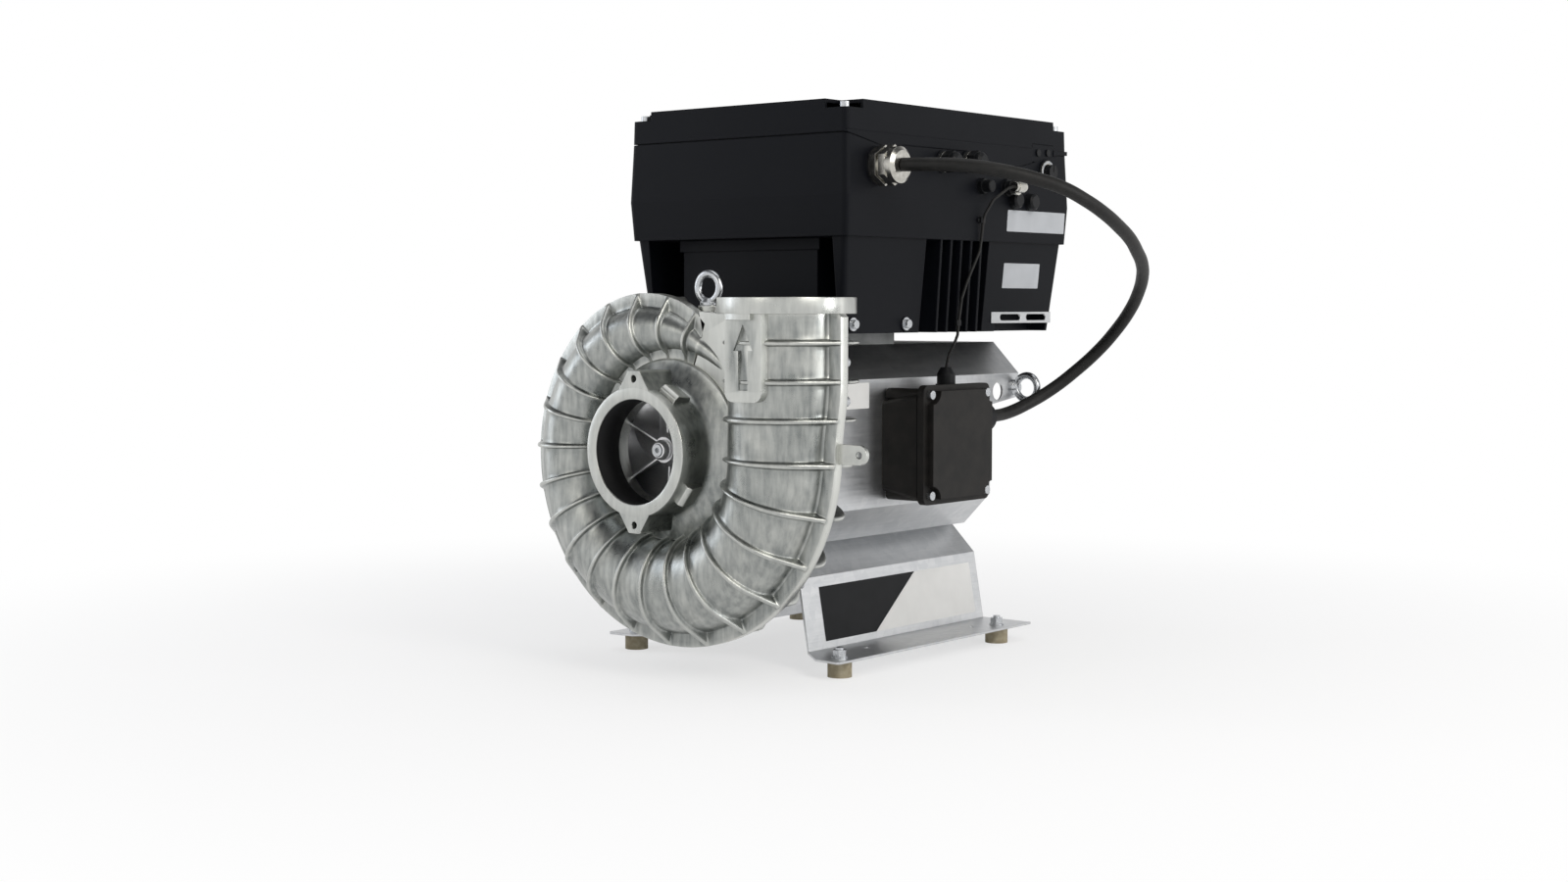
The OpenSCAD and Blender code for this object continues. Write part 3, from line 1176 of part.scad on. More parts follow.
// Metal gland of the motor cable
seal_r = 19;
seal_t = 1.5;
gland_hex_w = 36;
gland_hex_l = 8;
gland_body_r = 15.5;
gland_nut_x = 163;
gland_nut_hex_l = 8;
gland_dome_r = 18.6;
gland_end_x = 181;
gland_end_r = 13.5;
gland_inner_in = 14;
module gland_seal() color(col_black) along_x(pad_x, cable_y, cable_z) ring(seal_r, gland_bore_r, seal_t);
module cable_gland() color(col_steel) difference() {
  union() {
    along_x(pad_x + seal_t, cable_y, cable_z) hex(gland_hex_w, gland_hex_l);
    along_x(pad_x - gland_inner_in, cable_y, cable_z) disc(gland_bore_r - run_gap, gland_inner_in + seal_t + over);
    along_x(pad_x + seal_t, cable_y, cable_z) disc(gland_body_r, gland_nut_x + gland_nut_hex_l - pad_x - seal_t);
  }
  along_x(pad_x - 2 * gland_inner_in, cable_y, cable_z) disc(cable_d / 2, 4 * gland_inner_in);
}
module gland_nut() color(col_steel) difference() {
  union() {
    along_x(gland_nut_x, cable_y, cable_z) hex(gland_hex_w, gland_nut_hex_l);
    along_x(gland_nut_x, cable_y, cable_z) turned([[0, over], [gland_body_r + over, over],
      [gland_body_r + over, gland_nut_hex_l - over], [gland_dome_r, gland_nut_hex_l - over],
      [gland_dome_r, gland_end_x - gland_nut_x - 2 * seal_t], [gland_end_r + over, gland_end_x - gland_nut_x],
      [0, gland_end_x - gland_nut_x]]);
  }
  along_x(gland_nut_x - over, cable_y, cable_z) disc(gland_body_r, gland_nut_hex_l + over);
  along_x(gland_nut_x, cable_y, cable_z) disc(cable_d / 2 + seat, gland_end_x - gland_nut_x - seal_t);
}

// Terminal box on the motor
box_wall = 3;
box_back_t = 4;
box_y0 = tbox_y - 60.5;
box_y1 = tbox_y + 60.5;
box_z0 = 169;
box_z1 = 285;
box_foot_in = 9;
box_seam_x = shroud_hw + tbox_depth;
box_gasket_t = 2;
box_r = 8;
cover_z = 229;
cover_x0 = box_seam_x + box_gasket_t;
cover_t = 8;
cover_raise = 8;
raise_w = 110;
raise_h = 114;
scoop_r = 14;
box_screw_in = 10;
box_screw_r = 2.5;
box_screw_l = 18;
box_post_r = 6.5;
entry_rear_x = 130;
entry_rear_z = 252;
entry_top_x = 130;
entry_top_y = 58.5;
entry_r = 10;
entry_top_r = 6;
top_r = 10;
top_foot_z = box_z1 - box_foot_in * (box_seam_x - entry_top_x + top_r) / tbox_depth;
module at_box_screws(x) {
  for (sy = [-1, 1], sz = [-1, 1]) along_x(x, tbox_y + sy * (tbox_w / 2 - box_screw_in),
    cover_z + sz * (tbox_hgt / 2 - box_screw_in)) children();
}
module terminal_box() color(col_plastic) difference() {
  union() {
    difference() {
      rotate([0, 90, 0]) tower([[shroud_hw, box_foot_in, 0], [box_seam_x, 0, 0]], [-box_z1, -box_z0],
        [box_y0, box_y1], box_r);
      block([shroud_hw + box_back_t, box_seam_x + over], [box_y0 + box_wall, box_y1 - box_wall],
        [box_z0 + box_foot_in + box_wall, box_z1 - box_foot_in - box_wall]);
    }
    at_box_screws(shroud_hw + box_back_t - over) disc(box_post_r, tbox_depth - box_back_t + over);
  }
  along_x(shroud_hw - over, (neck_y0 + neck_y1) / 2, duct_z) disc(duct_r, box_back_t + 2 * over);
  at_box_screws(box_seam_x - box_screw_l) disc(box_screw_r, box_screw_l + over);
  translate([entry_rear_x, box_y1 - 2 * box_wall, entry_rear_z]) rotate([-90, 0, 0]) disc(entry_r, 3 * box_wall);
  translate([entry_top_x, entry_top_y, box_z1 - 4 * box_wall]) disc(entry_top_r, 5 * box_wall);
  translate([entry_top_x, entry_top_y, top_foot_z]) disc(top_r + run_gap, box_z1 - top_foot_z + over);
}
module box_outline(w, h, r, x, t) {
  along_x(x, tbox_y, cover_z) linear_extrude(t) rounded(h, w, r);
}
module box_gasket() color(col_black) difference() {
  box_outline(tbox_w - box_wall, tbox_hgt - 2 * box_screw_in, box_r, box_seam_x, box_gasket_t);
  box_outline(tbox_w - 4 * box_wall, tbox_hgt - 3.5 * box_screw_in, box_r, box_seam_x - over, box_gasket_t + 2 * over);
  at_box_screws(box_seam_x - over) disc(box_screw_r + seat, box_gasket_t + 2 * over);
}
module box_cover() color(col_plastic) difference() {
  union() {
    box_outline(tbox_w, tbox_hgt, box_r, cover_x0, cover_t);
    along_x(cover_x0 + cover_t - over, tbox_y, cover_z) linear_extrude(cover_raise + over) difference() {
      rounded(raise_h, raise_w, box_r / 2);
      for (sy = [-1, 1], sz = [-1, 1]) translate([sz * raise_h / 2, sy * raise_w / 2]) circle(scoop_r, $fn = fn_small);
    }
  }
  at_box_screws(cover_x0 - over) disc(box_screw_r + seat, cover_t + 2 * over);
}
box_head_r = 4.6;
box_head_h = 5;
module box_screws() color(col_steel) at_box_screws(cover_x0 + cover_t) {
  disc(box_head_r, box_head_h);
  translate([0, 0, -box_screw_l - cover_t + over]) disc(box_screw_r, box_screw_l + cover_t);
}
block_x1 = 123;
block_hy = 28;
block_z0 = 192;
block_z1 = 212;
terminal_n = 6;
terminal_r = 2.5;
terminal_l = 10;
module terminal_block() color(col_plastic) {
  block([shroud_hw + box_back_t, block_x1], [tbox_y - block_hy, tbox_y + block_hy], [block_z0, block_z1]);
  for (i = [0:2], z = [block_z0 + 2 * terminal_r, block_z1 - 2 * terminal_r])
    along_x(block_x1 - over, tbox_y + (i - 1) * 2 * block_hy / 3, z) disc(terminal_r, terminal_l + over);
}

// Glands of the terminal box
rear_gland_r = 17;
rear_gland_hex_w = 30;
rear_gland_hex_l = 8;
rear_gland_end_y = 142;
rear_gland_end_r = 10;
rear_thread_l = 8;
module rear_gland() color(col_plastic) translate([entry_rear_x, box_y1, entry_rear_z]) rotate([-90, 0, 0]) {
  hex(rear_gland_hex_w, rear_gland_hex_l);
  turned([[0, -rear_thread_l], [entry_r - run_gap, -rear_thread_l], [entry_r - run_gap, 0], [rear_gland_end_r, 0],
    [rear_gland_end_r, rear_gland_hex_l + seal_t], [rear_gland_r - over, rear_gland_hex_l + seal_t],
    [rear_gland_r - over, rear_gland_end_y - box_y1 - rear_gland_hex_l],
    [rear_gland_end_r, rear_gland_end_y - box_y1], [0, rear_gland_end_y - box_y1]]);
}
top_hex_w = 22;
top_hex_l = 6;
top_z1 = 309;
module top_gland() color(col_plastic) translate([entry_top_x, entry_top_y, 0]) {
  translate([0, 0, top_foot_z]) disc(top_r, box_z1 - top_foot_z + seal_t);
  translate([0, 0, box_z1]) hex(top_hex_w, top_hex_l);
  translate([0, 0, box_z1 + top_hex_l - over]) turned([[0, 0], [top_r, 0], [top_r, top_z1 - box_z1 - 2 * top_hex_l],
    [top_hex_l, top_z1 - box_z1 - top_hex_l + over], [0, top_z1 - box_z1 - top_hex_l + over]]);
  translate([0, 0, box_z1 - 3 * box_wall]) disc(entry_top_r - run_gap, 3 * box_wall);
}

// Lifting eye bolts
eye_r = 14;
eye_wire_r = 4;
eye_collar_r = 9;
eye_neck_r = 6;
eye_collar_t = 3;
eye_shank_l = 14;
module eye_bolt(shank_l) {
  turned([[0, 0], [eye_collar_r, 0], [eye_collar_r, eye_collar_t], [eye_neck_r, eye_collar_t + eye_wire_r], [0, eye_collar_t + eye_wire_r]]);
  translate([0, 0, eye_r + eye_wire_r]) rotate([90, 0, 0]) rotate_extrude($fn = fn_round)
    translate([eye_r, 0]) circle(eye_wire_r, $fn = fn_small);
  translate([0, 0, -shank_l]) disc(eye_thread_r, shank_l + over);
}
eye_nut_l = 6;
module front_eye_bolt() color(col_steel) translate([eye_x, eye_y, eye_seat_z]) eye_bolt(eye_shank_l);
module rear_eye_bolt() color(col_steel) along_x(shroud_hw, rear_eye_y, rear_eye_z) {
  eye_bolt(eye_shank_l);
  translate([0, 0, -sheet_t - eye_nut_l]) hex(nut_w, eye_nut_l);
}

// Screws between the rear half of the scroll and the motor
flange_head_r = 6.5;
flange_head_l = 6;
module flange_bolts() color(col_steel) on_axis(front_shield_y) for (a = [45:90:315]) rotate([0, 0, a])
  translate([flange_stud_pitch_r, 0, 0]) {
    translate([0, 0, flange_w]) disc(flange_head_r, flange_head_l);
    translate([0, 0, -flange_stud_deep + over]) disc(flange_stud_r, flange_w + flange_stud_deep);
  }

// Routes of the motor cable and of the signal lead
cable_route = [[181, -92, 517], [215, -88, 516], [247, -77, 514], [275, -58, 509], [297, -34, 502], [314, -5, 493],
  [323, 26, 481], [326, 57, 469], [324, 89, 457], [319, 121, 445], [310, 151, 433], [299, 181, 421], [284, 209, 407],
  [266, 232, 390], [245, 250, 370], [222, 260, 348], [197, 262, 324], [174, 252, 301], [155, 234, 281],
  [140, 207, 265], [132, 176, 255], [130, 142, 252]];
lead_route = [[170, 128, 505], [170, 118, 503], [160, 103, 490], [154, 96.5, 475], [152.5, 95, 468],
  [150, 95, 447], [149, 93, 434], [146.5, 80, 411], [146, 72, 398], [144.6, 66, 383], [142.6, 63, 357], [141.6, 63, 344],
  [139.5, 59.5, 334], [134, 58.5, 324], [130, 58.5, 309]];
cable_sides = 10;
lead_sides = 8;
function unit(v) = v / norm(v);
function tangent(p, i, first, last) = i == 0 ? first : i == len(p) - 1 ? last
  : unit(unit(p[i + 1] - p[i]) + unit(p[i] - p[i - 1]));
// Normals carried along the route without twist
function carried(t, i, u) = i == len(t) ? [] : let(v = unit(u - (u * t[i]) * t[i])) concat([v], carried(t, i + 1, v));
module tube(route, r, sides, first, last) {
  t = [for (i = [0:len(route) - 1]) tangent(route, i, first, last)];
  n = carried(t, 0, [0, 0, 1] * abs(first[0]) + [1, 0, 0] * abs(first[1]));
  points = [for (i = [0:len(route) - 1], k = [0:sides - 1]) let(a = k * 360 / sides)
    route[i] + r * (cos(a) * n[i] + sin(a) * cross(t[i], n[i]))];
  end = (len(route) - 1) * sides;
  polyhedron(points, concat([[for (k = [0:sides - 1]) k]], [[for (k = [0:sides - 1]) end + sides - 1 - k]],
    [for (i = [0:len(route) - 2], k = [0:sides - 1]) let(a = i * sides + k, b = i * sides + (k + 1) % sides)
      each [[a, a + sides, b], [b, a + sides, b + sides]]]));
}
module motor_cable() color(col_plastic) tube(cable_route, cable_d / 2, cable_sides, [1, 0, 0], [0, -1, 0]);
module signal_lead() color(col_black) tube(lead_route, lead_d / 2, lead_sides, [0, -1, 0], [0, 0, -1]);

// Clips that hold the lead: one on the housing wall, one on a cooling fin
clip_places = [[148.6, 95, 468, 4.3], [140.3, 63, 357, 3.4]];
clip_w = 8;
clip_h = 6;
clip_t = 3;
module lead_clips() color(col_plastic) difference() {
  for (c = clip_places)
    block([c[0], c[0] + c[3]], [c[1] - clip_w / 2, c[1] + clip_w / 2], [c[2] - clip_h / 2, c[2] + clip_h / 2]);
  tube(lead_route, lead_d / 2 + run_gap, lead_sides, [0, -1, 0], [0, 0, -1]);
}

volute_cover();
volute_back();
volute_screws();
impeller();
impeller_nose();
impeller_screw();
motor_shaft();
shaft_key();
shaft_seal();
front_bearing();
rear_bearing();
rotor_core();
stator_core();
stator_windings();
motor_frame();
front_end_shield();
rear_end_shield();
motor_fan();
fan_cowl();
motor_shroud();
base_bracket();
frame_bolts();
rubber_feet();
foot_studs();
foot_washers();
foot_nuts();
adapter_block();
inverter_base();
inverter_lid();
lid_gasket();
lid_screws();
side_screws();
circuit_board();
capacitors();
mounting_strip();
speed_knob();
knob_bezel();
blind_glands();
gland_rings();
sensor_gland();
signal_socket();
signal_plug();
socket_caps();
lid_plugs();
cable_gland();
gland_nut();
gland_seal();
terminal_box();
box_gasket();
box_cover();
box_screws();
terminal_block();
rear_gland();
top_gland();
front_eye_bolt();
rear_eye_bolt();
motor_cable();
signal_lead();
lead_clips();
flange_bolts();
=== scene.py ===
"""Industrial centrifugal blower: castings, sheet metal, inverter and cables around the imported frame."""
import json
import math

import bmesh
import bpy
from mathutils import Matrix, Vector


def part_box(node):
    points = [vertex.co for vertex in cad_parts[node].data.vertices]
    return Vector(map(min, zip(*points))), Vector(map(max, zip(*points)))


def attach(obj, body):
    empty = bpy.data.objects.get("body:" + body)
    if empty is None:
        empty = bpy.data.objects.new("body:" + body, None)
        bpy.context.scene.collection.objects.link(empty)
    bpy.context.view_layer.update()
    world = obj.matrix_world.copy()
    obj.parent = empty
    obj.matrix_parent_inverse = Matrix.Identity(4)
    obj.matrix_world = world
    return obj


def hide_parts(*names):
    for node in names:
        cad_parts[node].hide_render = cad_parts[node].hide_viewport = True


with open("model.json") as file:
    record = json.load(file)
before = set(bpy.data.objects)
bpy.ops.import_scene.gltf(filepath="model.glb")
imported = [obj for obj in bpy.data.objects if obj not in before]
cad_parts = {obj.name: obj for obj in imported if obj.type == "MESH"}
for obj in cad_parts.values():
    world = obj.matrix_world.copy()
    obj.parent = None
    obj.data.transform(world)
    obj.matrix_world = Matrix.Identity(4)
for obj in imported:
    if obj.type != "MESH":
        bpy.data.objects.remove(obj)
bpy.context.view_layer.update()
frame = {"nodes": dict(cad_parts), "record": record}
scene = bpy.context.scene
MM = 0.001
SHAFT_H, SPLIT_Y = 230.0, -235.0

# ---- Camera: the photograph's own place, angle and lens ----
CAMERA_POS = (1.44014, -1.82058, 0.37465)
CAMERA_PITCH, CAMERA_YAW = 86.350, 39.280
CAMERA_LENS, SENSOR_WIDTH = 48.45, 36.0

camera_data = bpy.data.cameras.new("camera")
camera_data.lens = CAMERA_LENS
camera_data.sensor_width = SENSOR_WIDTH
camera = bpy.data.objects.new("camera", camera_data)
camera.location = CAMERA_POS
camera.rotation_euler = (math.radians(CAMERA_PITCH), 0, math.radians(CAMERA_YAW))
scene.collection.objects.link(camera)
scene.camera = camera
scene.view_settings.view_transform = "Standard"


# ---- Materials ----
def linear(code):
    """An sRGB hex colour as linear RGBA."""
    parts = [int(code[i:i + 2], 16) / 255 for i in (1, 3, 5)]
    return tuple(c / 12.92 if c <= 0.04045 else ((c + 0.055) / 1.055) ** 2.4 for c in parts) + (1.0,)


def connect(tree, node, inputs):
    """Sets inputs of a node by a value, a socket or another node's first output."""
    for key, value in inputs.items():
        if isinstance(value, bpy.types.Node):
            value = value.outputs[0]
        if isinstance(value, bpy.types.NodeSocket):
            tree.links.new(value, node.inputs[key])
        else:
            node.inputs[key].default_value = value


def add(tree, kind, inputs=None, stops=(), **settings):
    """Adds one node; the stops of a colour ramp are (place, hex colour)."""
    node = tree.nodes.new("ShaderNode" + kind)
    for key, value in settings.items():
        setattr(node, key, value)
    connect(tree, node, inputs or {})
    if stops:
        points = node.color_ramp.elements
        while len(points) < len(stops):
            points.new(0.5)
        for point, (place, code) in zip(points, stops):
            point.position = place
            point.color = linear(code)
    return node


def start(name):
    """A new material: itself, its node tree, its shader and the object's own coordinates in metres."""
    material = bpy.data.materials.new(name)
    material.use_nodes = True
    tree = material.node_tree
    where = tree.nodes.new("ShaderNodeTexCoord").outputs["Object"]
    return material, tree, tree.nodes["Principled BSDF"], where


def per_metre(size_mm):
    """Scale of a pattern whose features are that many millimetres apart."""
    return 1000.0 / size_mm


def cast_aluminium():
    """Pressure die-cast aluminium, tumbled: semi-bright, cloudy, with a fine skin; its convex edges are painted
    brighter, partly rubbed wear and partly a painted edge highlight.
    """
    material, tree, shader, where = start("die_cast_aluminium")
    clouds = add(tree, "TexNoise", {"Vector": where, "Scale": per_metre(34), "Detail": 5, "Roughness": 0.62})
    upward = add(tree, "Mapping", {"Vector": where, "Scale": (1, 1, 0.18)})
    flow = add(tree, "TexNoise", {"Vector": upward, "Scale": per_metre(5.5), "Detail": 3})
    skin = add(tree, "TexNoise", {"Vector": where, "Scale": per_metre(1.3), "Detail": 2})
    waves = add(tree, "TexNoise", {"Vector": where, "Scale": per_metre(16), "Detail": 3})
    tone = add(tree, "ValToRGB", {"Fac": clouds}, [(0.30, "#7D8180"), (0.52, "#999C9A"), (0.72, "#B5B6B2")])
    lines = add(tree, "ValToRGB", {"Fac": flow}, [(0.35, "#5E6261"), (0.65, "#C8C9C3")])
    streaked = add(tree, "MixRGB", {"Fac": 0.28, "Color1": tone, "Color2": lines})
    corner = add(tree, "NewGeometry").outputs["Pointiness"]
    # convex edges (pointiness) painted brighter: partly rubbed wear, partly a painted edge highlight
    edge_wear_and_highlight = add(tree, "ValToRGB", {"Fac": corner}, [(0.50, "#000000"), (0.58, "#FFFFFF")])
    worn_and_highlit = add(tree, "MixRGB", {"Fac": edge_wear_and_highlight, "Color1": streaked, "Color2": linear("#D4D5D0")})
    fine = add(tree, "Math", {0: skin, 1: 0.35}, operation="MULTIPLY")
    grain = add(tree, "Math", {0: clouds, 1: fine}, operation="ADD")
    gloss = add(tree, "MapRange", {"Value": grain, "From Min": 0.45, "From Max": 0.95, "To Min": 0.24,
                                   "To Max": 0.46})
    edge = add(tree, "Bevel", {"Radius": 0.6 * MM}, samples=4)
    pitted = add(tree, "Bump", {"Height": skin, "Distance": 0.35 * MM, "Strength": 0.22, "Normal": edge})
    uneven = add(tree, "Bump", {"Height": waves, "Distance": 1.2 * MM, "Strength": 0.16, "Normal": pitted})
    connect(tree, shader, {"Metallic": 1.0, "Base Color": worn_and_highlit, "Roughness": gloss, "Normal": uneven})
    return material


def motor_casting():
    """Sand-cast aluminium, left as cast: grey and matt with a coarse grain."""
    material, tree, shader, where = start("sand_cast_aluminium")
    grain = add(tree, "TexNoise", {"Vector": where, "Scale": per_metre(1.8), "Detail": 3, "Roughness": 0.6})
    clouds = add(tree, "TexNoise", {"Vector": where, "Scale": per_metre(30), "Detail": 4})
    tone = add(tree, "ValToRGB", {"Fac": clouds}, [(0.35, "#6B6D6D"), (0.7, "#8A8C8B")])
    edge = add(tree, "Bevel", {"Radius": 1.0 * MM}, samples=4)
    rough = add(tree, "Bump", {"Height": grain, "Distance": 0.4 * MM, "Strength": 0.4, "Normal": edge})
    connect(tree, shader, {"Metallic": 0.9, "Base Color": tone, "Roughness": 0.55, "Normal": rough})
    return material


def zinc_sheet():
    """Hot-dip galvanised sheet, skin-passed: pale, faint spangle and rolling streaks."""
    material, tree, shader, where = start("galvanised_sheet")
    spangle = add(tree, "TexVoronoi", {"Vector": where, "Scale": per_metre(9)}).outputs["Color"]
    grey = add(tree, "RGBToBW", {"Color": spangle})
    along = add(tree, "Mapping", {"Vector": where, "Scale": (1, 0.05, 1)})
    streaks = add(tree, "TexNoise", {"Vector": along, "Scale": per_metre(2.2), "Detail": 3})
    waves = add(tree, "TexNoise", {"Vector": where, "Scale": per_metre(45), "Detail": 2})
    tone = add(tree, "ValToRGB", {"Fac": grey}, [(0.1, "#C2C4C6"), (0.9, "#CFD0D1")])
    rolled = add(tree, "ValToRGB", {"Fac": streaks}, [(0.3, "#B7B9BB"), (0.7, "#DADADB")])
    base = add(tree, "MixRGB", {"Fac": 0.25, "Color1": tone, "Color2": rolled})
    gloss = add(tree, "MapRange", {"Value": streaks, "To Min": 0.32, "To Max": 0.44})
    edge = add(tree, "Bevel", {"Radius": 1.2 * MM}, samples=4)
    uneven = add(tree, "Bump", {"Height": waves, "Distance": 1.0 * MM, "Strength": 0.05, "Normal": edge})
    connect(tree, shader, {"Metallic": 1.0, "Base Color": base, "Roughness": gloss, "Normal": uneven})
    return material


def zinc_plated_steel():
    """Machined steel, bright zinc-plated: fine turning marks, slightly blue."""
    material, tree, shader, where = start("zinc_plated_steel")
    upright = add(tree, "Mapping", {"Vector": where, "Scale": (1, 1, 4)})
    marks = add(tree, "TexNoise", {"Vector": upright, "Scale": per_metre(1.2), "Detail": 2})
    tone = add(tree, "ValToRGB", {"Fac": marks}, [(0.3, "#A6A9AD"), (0.7, "#CDCFD1")])
    gloss = add(tree, "MapRange", {"Value": marks, "To Min": 0.20, "To Max": 0.34})
    edge = add(tree, "Bevel", {"Radius": 0.5 * MM}, samples=4)
    connect(tree, shader, {"Metallic": 1.0, "Base Color": tone, "Roughness": gloss, "Normal": edge})
    return material


def powder_coat():
    """Polyester powder coat on die-cast aluminium: deep blue-black, satin, with a fine orange peel."""
    material, tree, shader, where = start("powder_coat_blue_black")
    peel = add(tree, "TexNoise", {"Vector": where, "Scale": per_metre(1.6), "Detail": 2})
    haze = add(tree, "TexNoise", {"Vector": where, "Scale": per_metre(60), "Detail": 3})
    gloss = add(tree, "MapRange", {"Value": haze, "To Min": 0.42, "To Max": 0.53})
    edge = add(tree, "Bevel", {"Radius": 1.6 * MM}, samples=4)
    rough = add(tree, "Bump", {"Height": peel, "Distance": 0.25 * MM, "Strength": 0.16, "Normal": edge})
    connect(tree, shader, {"Base Color": linear("#0C0E13"), "Roughness": gloss, "IOR": 1.5, "Normal": rough,
                           "Specular IOR Level": 0.09})
    return material


def moulded_plastic(name, dark, light, roughness, edge_mm):
    """Injection-moulded glass-filled polyamide: an even eroded grain and slightly rounded edges."""
    material, tree, shader, where = start(name)
    clouds = add(tree, "TexNoise", {"Vector": where, "Scale": per_metre(18), "Detail": 4})
    grain = add(tree, "TexNoise", {"Vector": where, "Scale": per_metre(0.9), "Detail": 2})
    tone = add(tree, "ValToRGB", {"Fac": clouds}, [(0.35, dark), (0.7, light)])
    gloss = add(tree, "MapRange", {"Value": grain, "To Min": roughness - 0.05, "To Max": roughness + 0.07})
    edge = add(tree, "Bevel", {"Radius": edge_mm * MM}, samples=4)
    rough = add(tree, "Bump", {"Height": grain, "Distance": 0.2 * MM, "Strength": 0.2, "Normal": edge})
    connect(tree, shader, {"Base Color": tone, "Roughness": gloss, "IOR": 1.52, "Normal": rough,
                           "Specular IOR Level": 0.16})
    return material


def rubber(name, dark, light, roughness):
    """Moulded rubber: matt, dusty on its high places."""
    material, tree, shader, where = start(name)
    dust = add(tree, "TexNoise", {"Vector": where, "Scale": per_metre(7), "Detail": 4})
    pores = add(tree, "TexNoise", {"Vector": where, "Scale": per_metre(0.8), "Detail": 2})
    tone = add(tree, "ValToRGB", {"Fac": dust}, [(0.35, dark), (0.7, light)])
    rough = add(tree, "Bump", {"Height": pores, "Distance": 0.08 * MM, "Strength": 0.15})
    connect(tree, shader, {"Base Color": tone, "Roughness": roughness, "IOR": 1.5, "Normal": rough,
                           "Specular IOR Level": 0.25})
    return material


def nickel_plate():
    """Nickel-plated brass: a warm mirror dulled by handling."""
    material, tree, shader, where = start("nickel_plated_brass")
    smudge = add(tree, "TexNoise", {"Vector": where, "Scale": per_metre(6), "Detail": 4})
    tone = add(tree, "ValToRGB", {"Fac": smudge}, [(0.3, "#ABA9A2"), (0.7, "#CCCAC3")])
    gloss = add(tree, "MapRange", {"Value": smudge, "To Min": 0.16, "To Max": 0.30})
    edge = add(tree, "Bevel", {"Radius": 0.5 * MM}, samples=4)
    connect(tree, shader, {"Metallic": 1.0, "Base Color": tone, "Roughness": gloss, "Normal": edge})
    return material


def polished_aluminium():
    """Milled and polished aluminium: bright, with cutter lines across the blades."""
    material, tree, shader, where = start("polished_aluminium")
    across = add(tree, "Mapping", {"Vector": where, "Scale": (1, 5, 1)})
    lines = add(tree, "TexNoise", {"Vector": across, "Scale": per_metre(0.9), "Detail": 2})
    tone = add(tree, "ValToRGB", {"Fac": lines}, [(0.3, "#D9DADC"), (0.7, "#EEEEEF")])
    gloss = add(tree, "MapRange", {"Value": lines, "To Min": 0.26, "To Max": 0.38})
    cut = add(tree, "Bump", {"Height": lines, "Distance": 0.05 * MM, "Strength": 0.1})
    connect(tree, shader, {"Metallic": 0.85, "Base Color": tone, "Roughness": gloss, "Normal": cut})
    return material


def paint_bore_shade():
    """Painted shade: a matt near-black surface with a faint turned grain, laid on the turned bore of the casting
    where the bore lies in deep shade.
    """
    material, tree, shader, where = start("painted_bore_shade")
    grain = add(tree, "TexNoise", {"Vector": where, "Scale": per_metre(1.1), "Detail": 2})
    tone = add(tree, "ValToRGB", {"Fac": grain}, [(0.3, "#101011"), (0.7, "#1A1A1B")])
    rough = add(tree, "Bump", {"Height": grain, "Distance": 0.05 * MM, "Strength": 0.2})
    connect(tree, shader, {"Base Color": tone, "Roughness": 0.6, "IOR": 1.5, "Normal": rough,
                           "Specular IOR Level": 0.2})
    return material


def core_steel():
    """Stacked electrical sheet: dark grey edges. Its layers of 0.5 mm are drawn as bands 12.6 mm apart to show."""
    material, tree, shader, where = start("electrical_sheet")
    layers = add(tree, "TexWave", {"Vector": where, "Scale": 25.0}, bands_direction="Y")
    tone = add(tree, "ValToRGB", {"Fac": layers.outputs["Fac"]}, [(0.2, "#5B5C5E"), (0.8, "#7D7E80")])
    connect(tree, shader, {"Metallic": 0.9, "Base Color": tone, "Roughness": 0.45})
    return material


def enamelled_copper():
    """Enamelled copper wire, wound: red-brown turns about 1.2 mm apart."""
    material, tree, shader, where = start("enamelled_copper")
    turns = add(tree, "TexNoise", {"Vector": where, "Scale": per_metre(1.2), "Detail": 2})
    tone = add(tree, "ValToRGB", {"Fac": turns}, [(0.35, "#7A3E1E"), (0.7, "#B4693A")])
    wound = add(tree, "Bump", {"Height": turns, "Distance": 0.4 * MM, "Strength": 0.5})
    connect(tree, shader, {"Metallic": 0.85, "Base Color": tone, "Roughness": 0.35, "Normal": wound})
    return material


def circuit_laminate():
    """Glass-epoxy laminate with solder mask: green, slightly glossy."""
    material, tree, shader, where = start("circuit_laminate")
    weave = add(tree, "TexNoise", {"Vector": where, "Scale": per_metre(5), "Detail": 2})
    tone = add(tree, "ValToRGB", {"Fac": weave}, [(0.4, "#1F4A2C"), (0.6, "#2F6A3F")])
    connect(tree, shader, {"Base Color": tone, "Roughness": 0.35})
    return material


def label_film(name, dark, light):
    """Printed polyester film: smooth and nearly even."""
    material, tree, shader, where = start(name)
    haze = add(tree, "TexNoise", {"Vector": where, "Scale": per_metre(25), "Detail": 2})
    tone = add(tree, "ValToRGB", {"Fac": haze}, [(0.3, dark), (0.7, light)])
    connect(tree, shader, {"Base Color": tone, "Roughness": 0.38, "IOR": 1.5, "Specular IOR Level": 0.12})
    return material


CAST = cast_aluminium()
MOTOR_CAST = motor_casting()
SHEET = zinc_sheet()
STEEL = zinc_plated_steel()
COAT = powder_coat()
BOX_PLASTIC = moulded_plastic("moulded_polyamide_box", "#1A1918", "#242220", 0.48, 0.8)
PLASTIC = moulded_plastic("moulded_polyamide_black", "#0F1012", "#17181A", 0.42, 0.5)
SEAL = rubber("nitrile_seal_black", "#0D0D0D", "#181818", 0.7)
SHEATH = rubber("cable_sheath_black", "#141413", "#1D1C1B", 0.5)
BUFFER = rubber("natural_rubber_buffer", "#958B74", "#AFA68F", 0.75)
NICKEL = nickel_plate()
POLISHED = polished_aluminium()
# painted shade for the deep inside of the inlet bore
BORE_SHADE_PAINT = paint_bore_shade()
CORE = core_steel()
COPPER = enamelled_copper()
BOARD = circuit_laminate()
WHITE_FILM = label_film("polyester_label_white", "#E2E2E0", "#E8E8E6")
BLACK_FILM = label_film("polyester_label_black", "#141517", "#1A1B1D")
SILVER_FILM = label_film("polyester_label_silver", "#B6B9BD", "#BEC1C5")

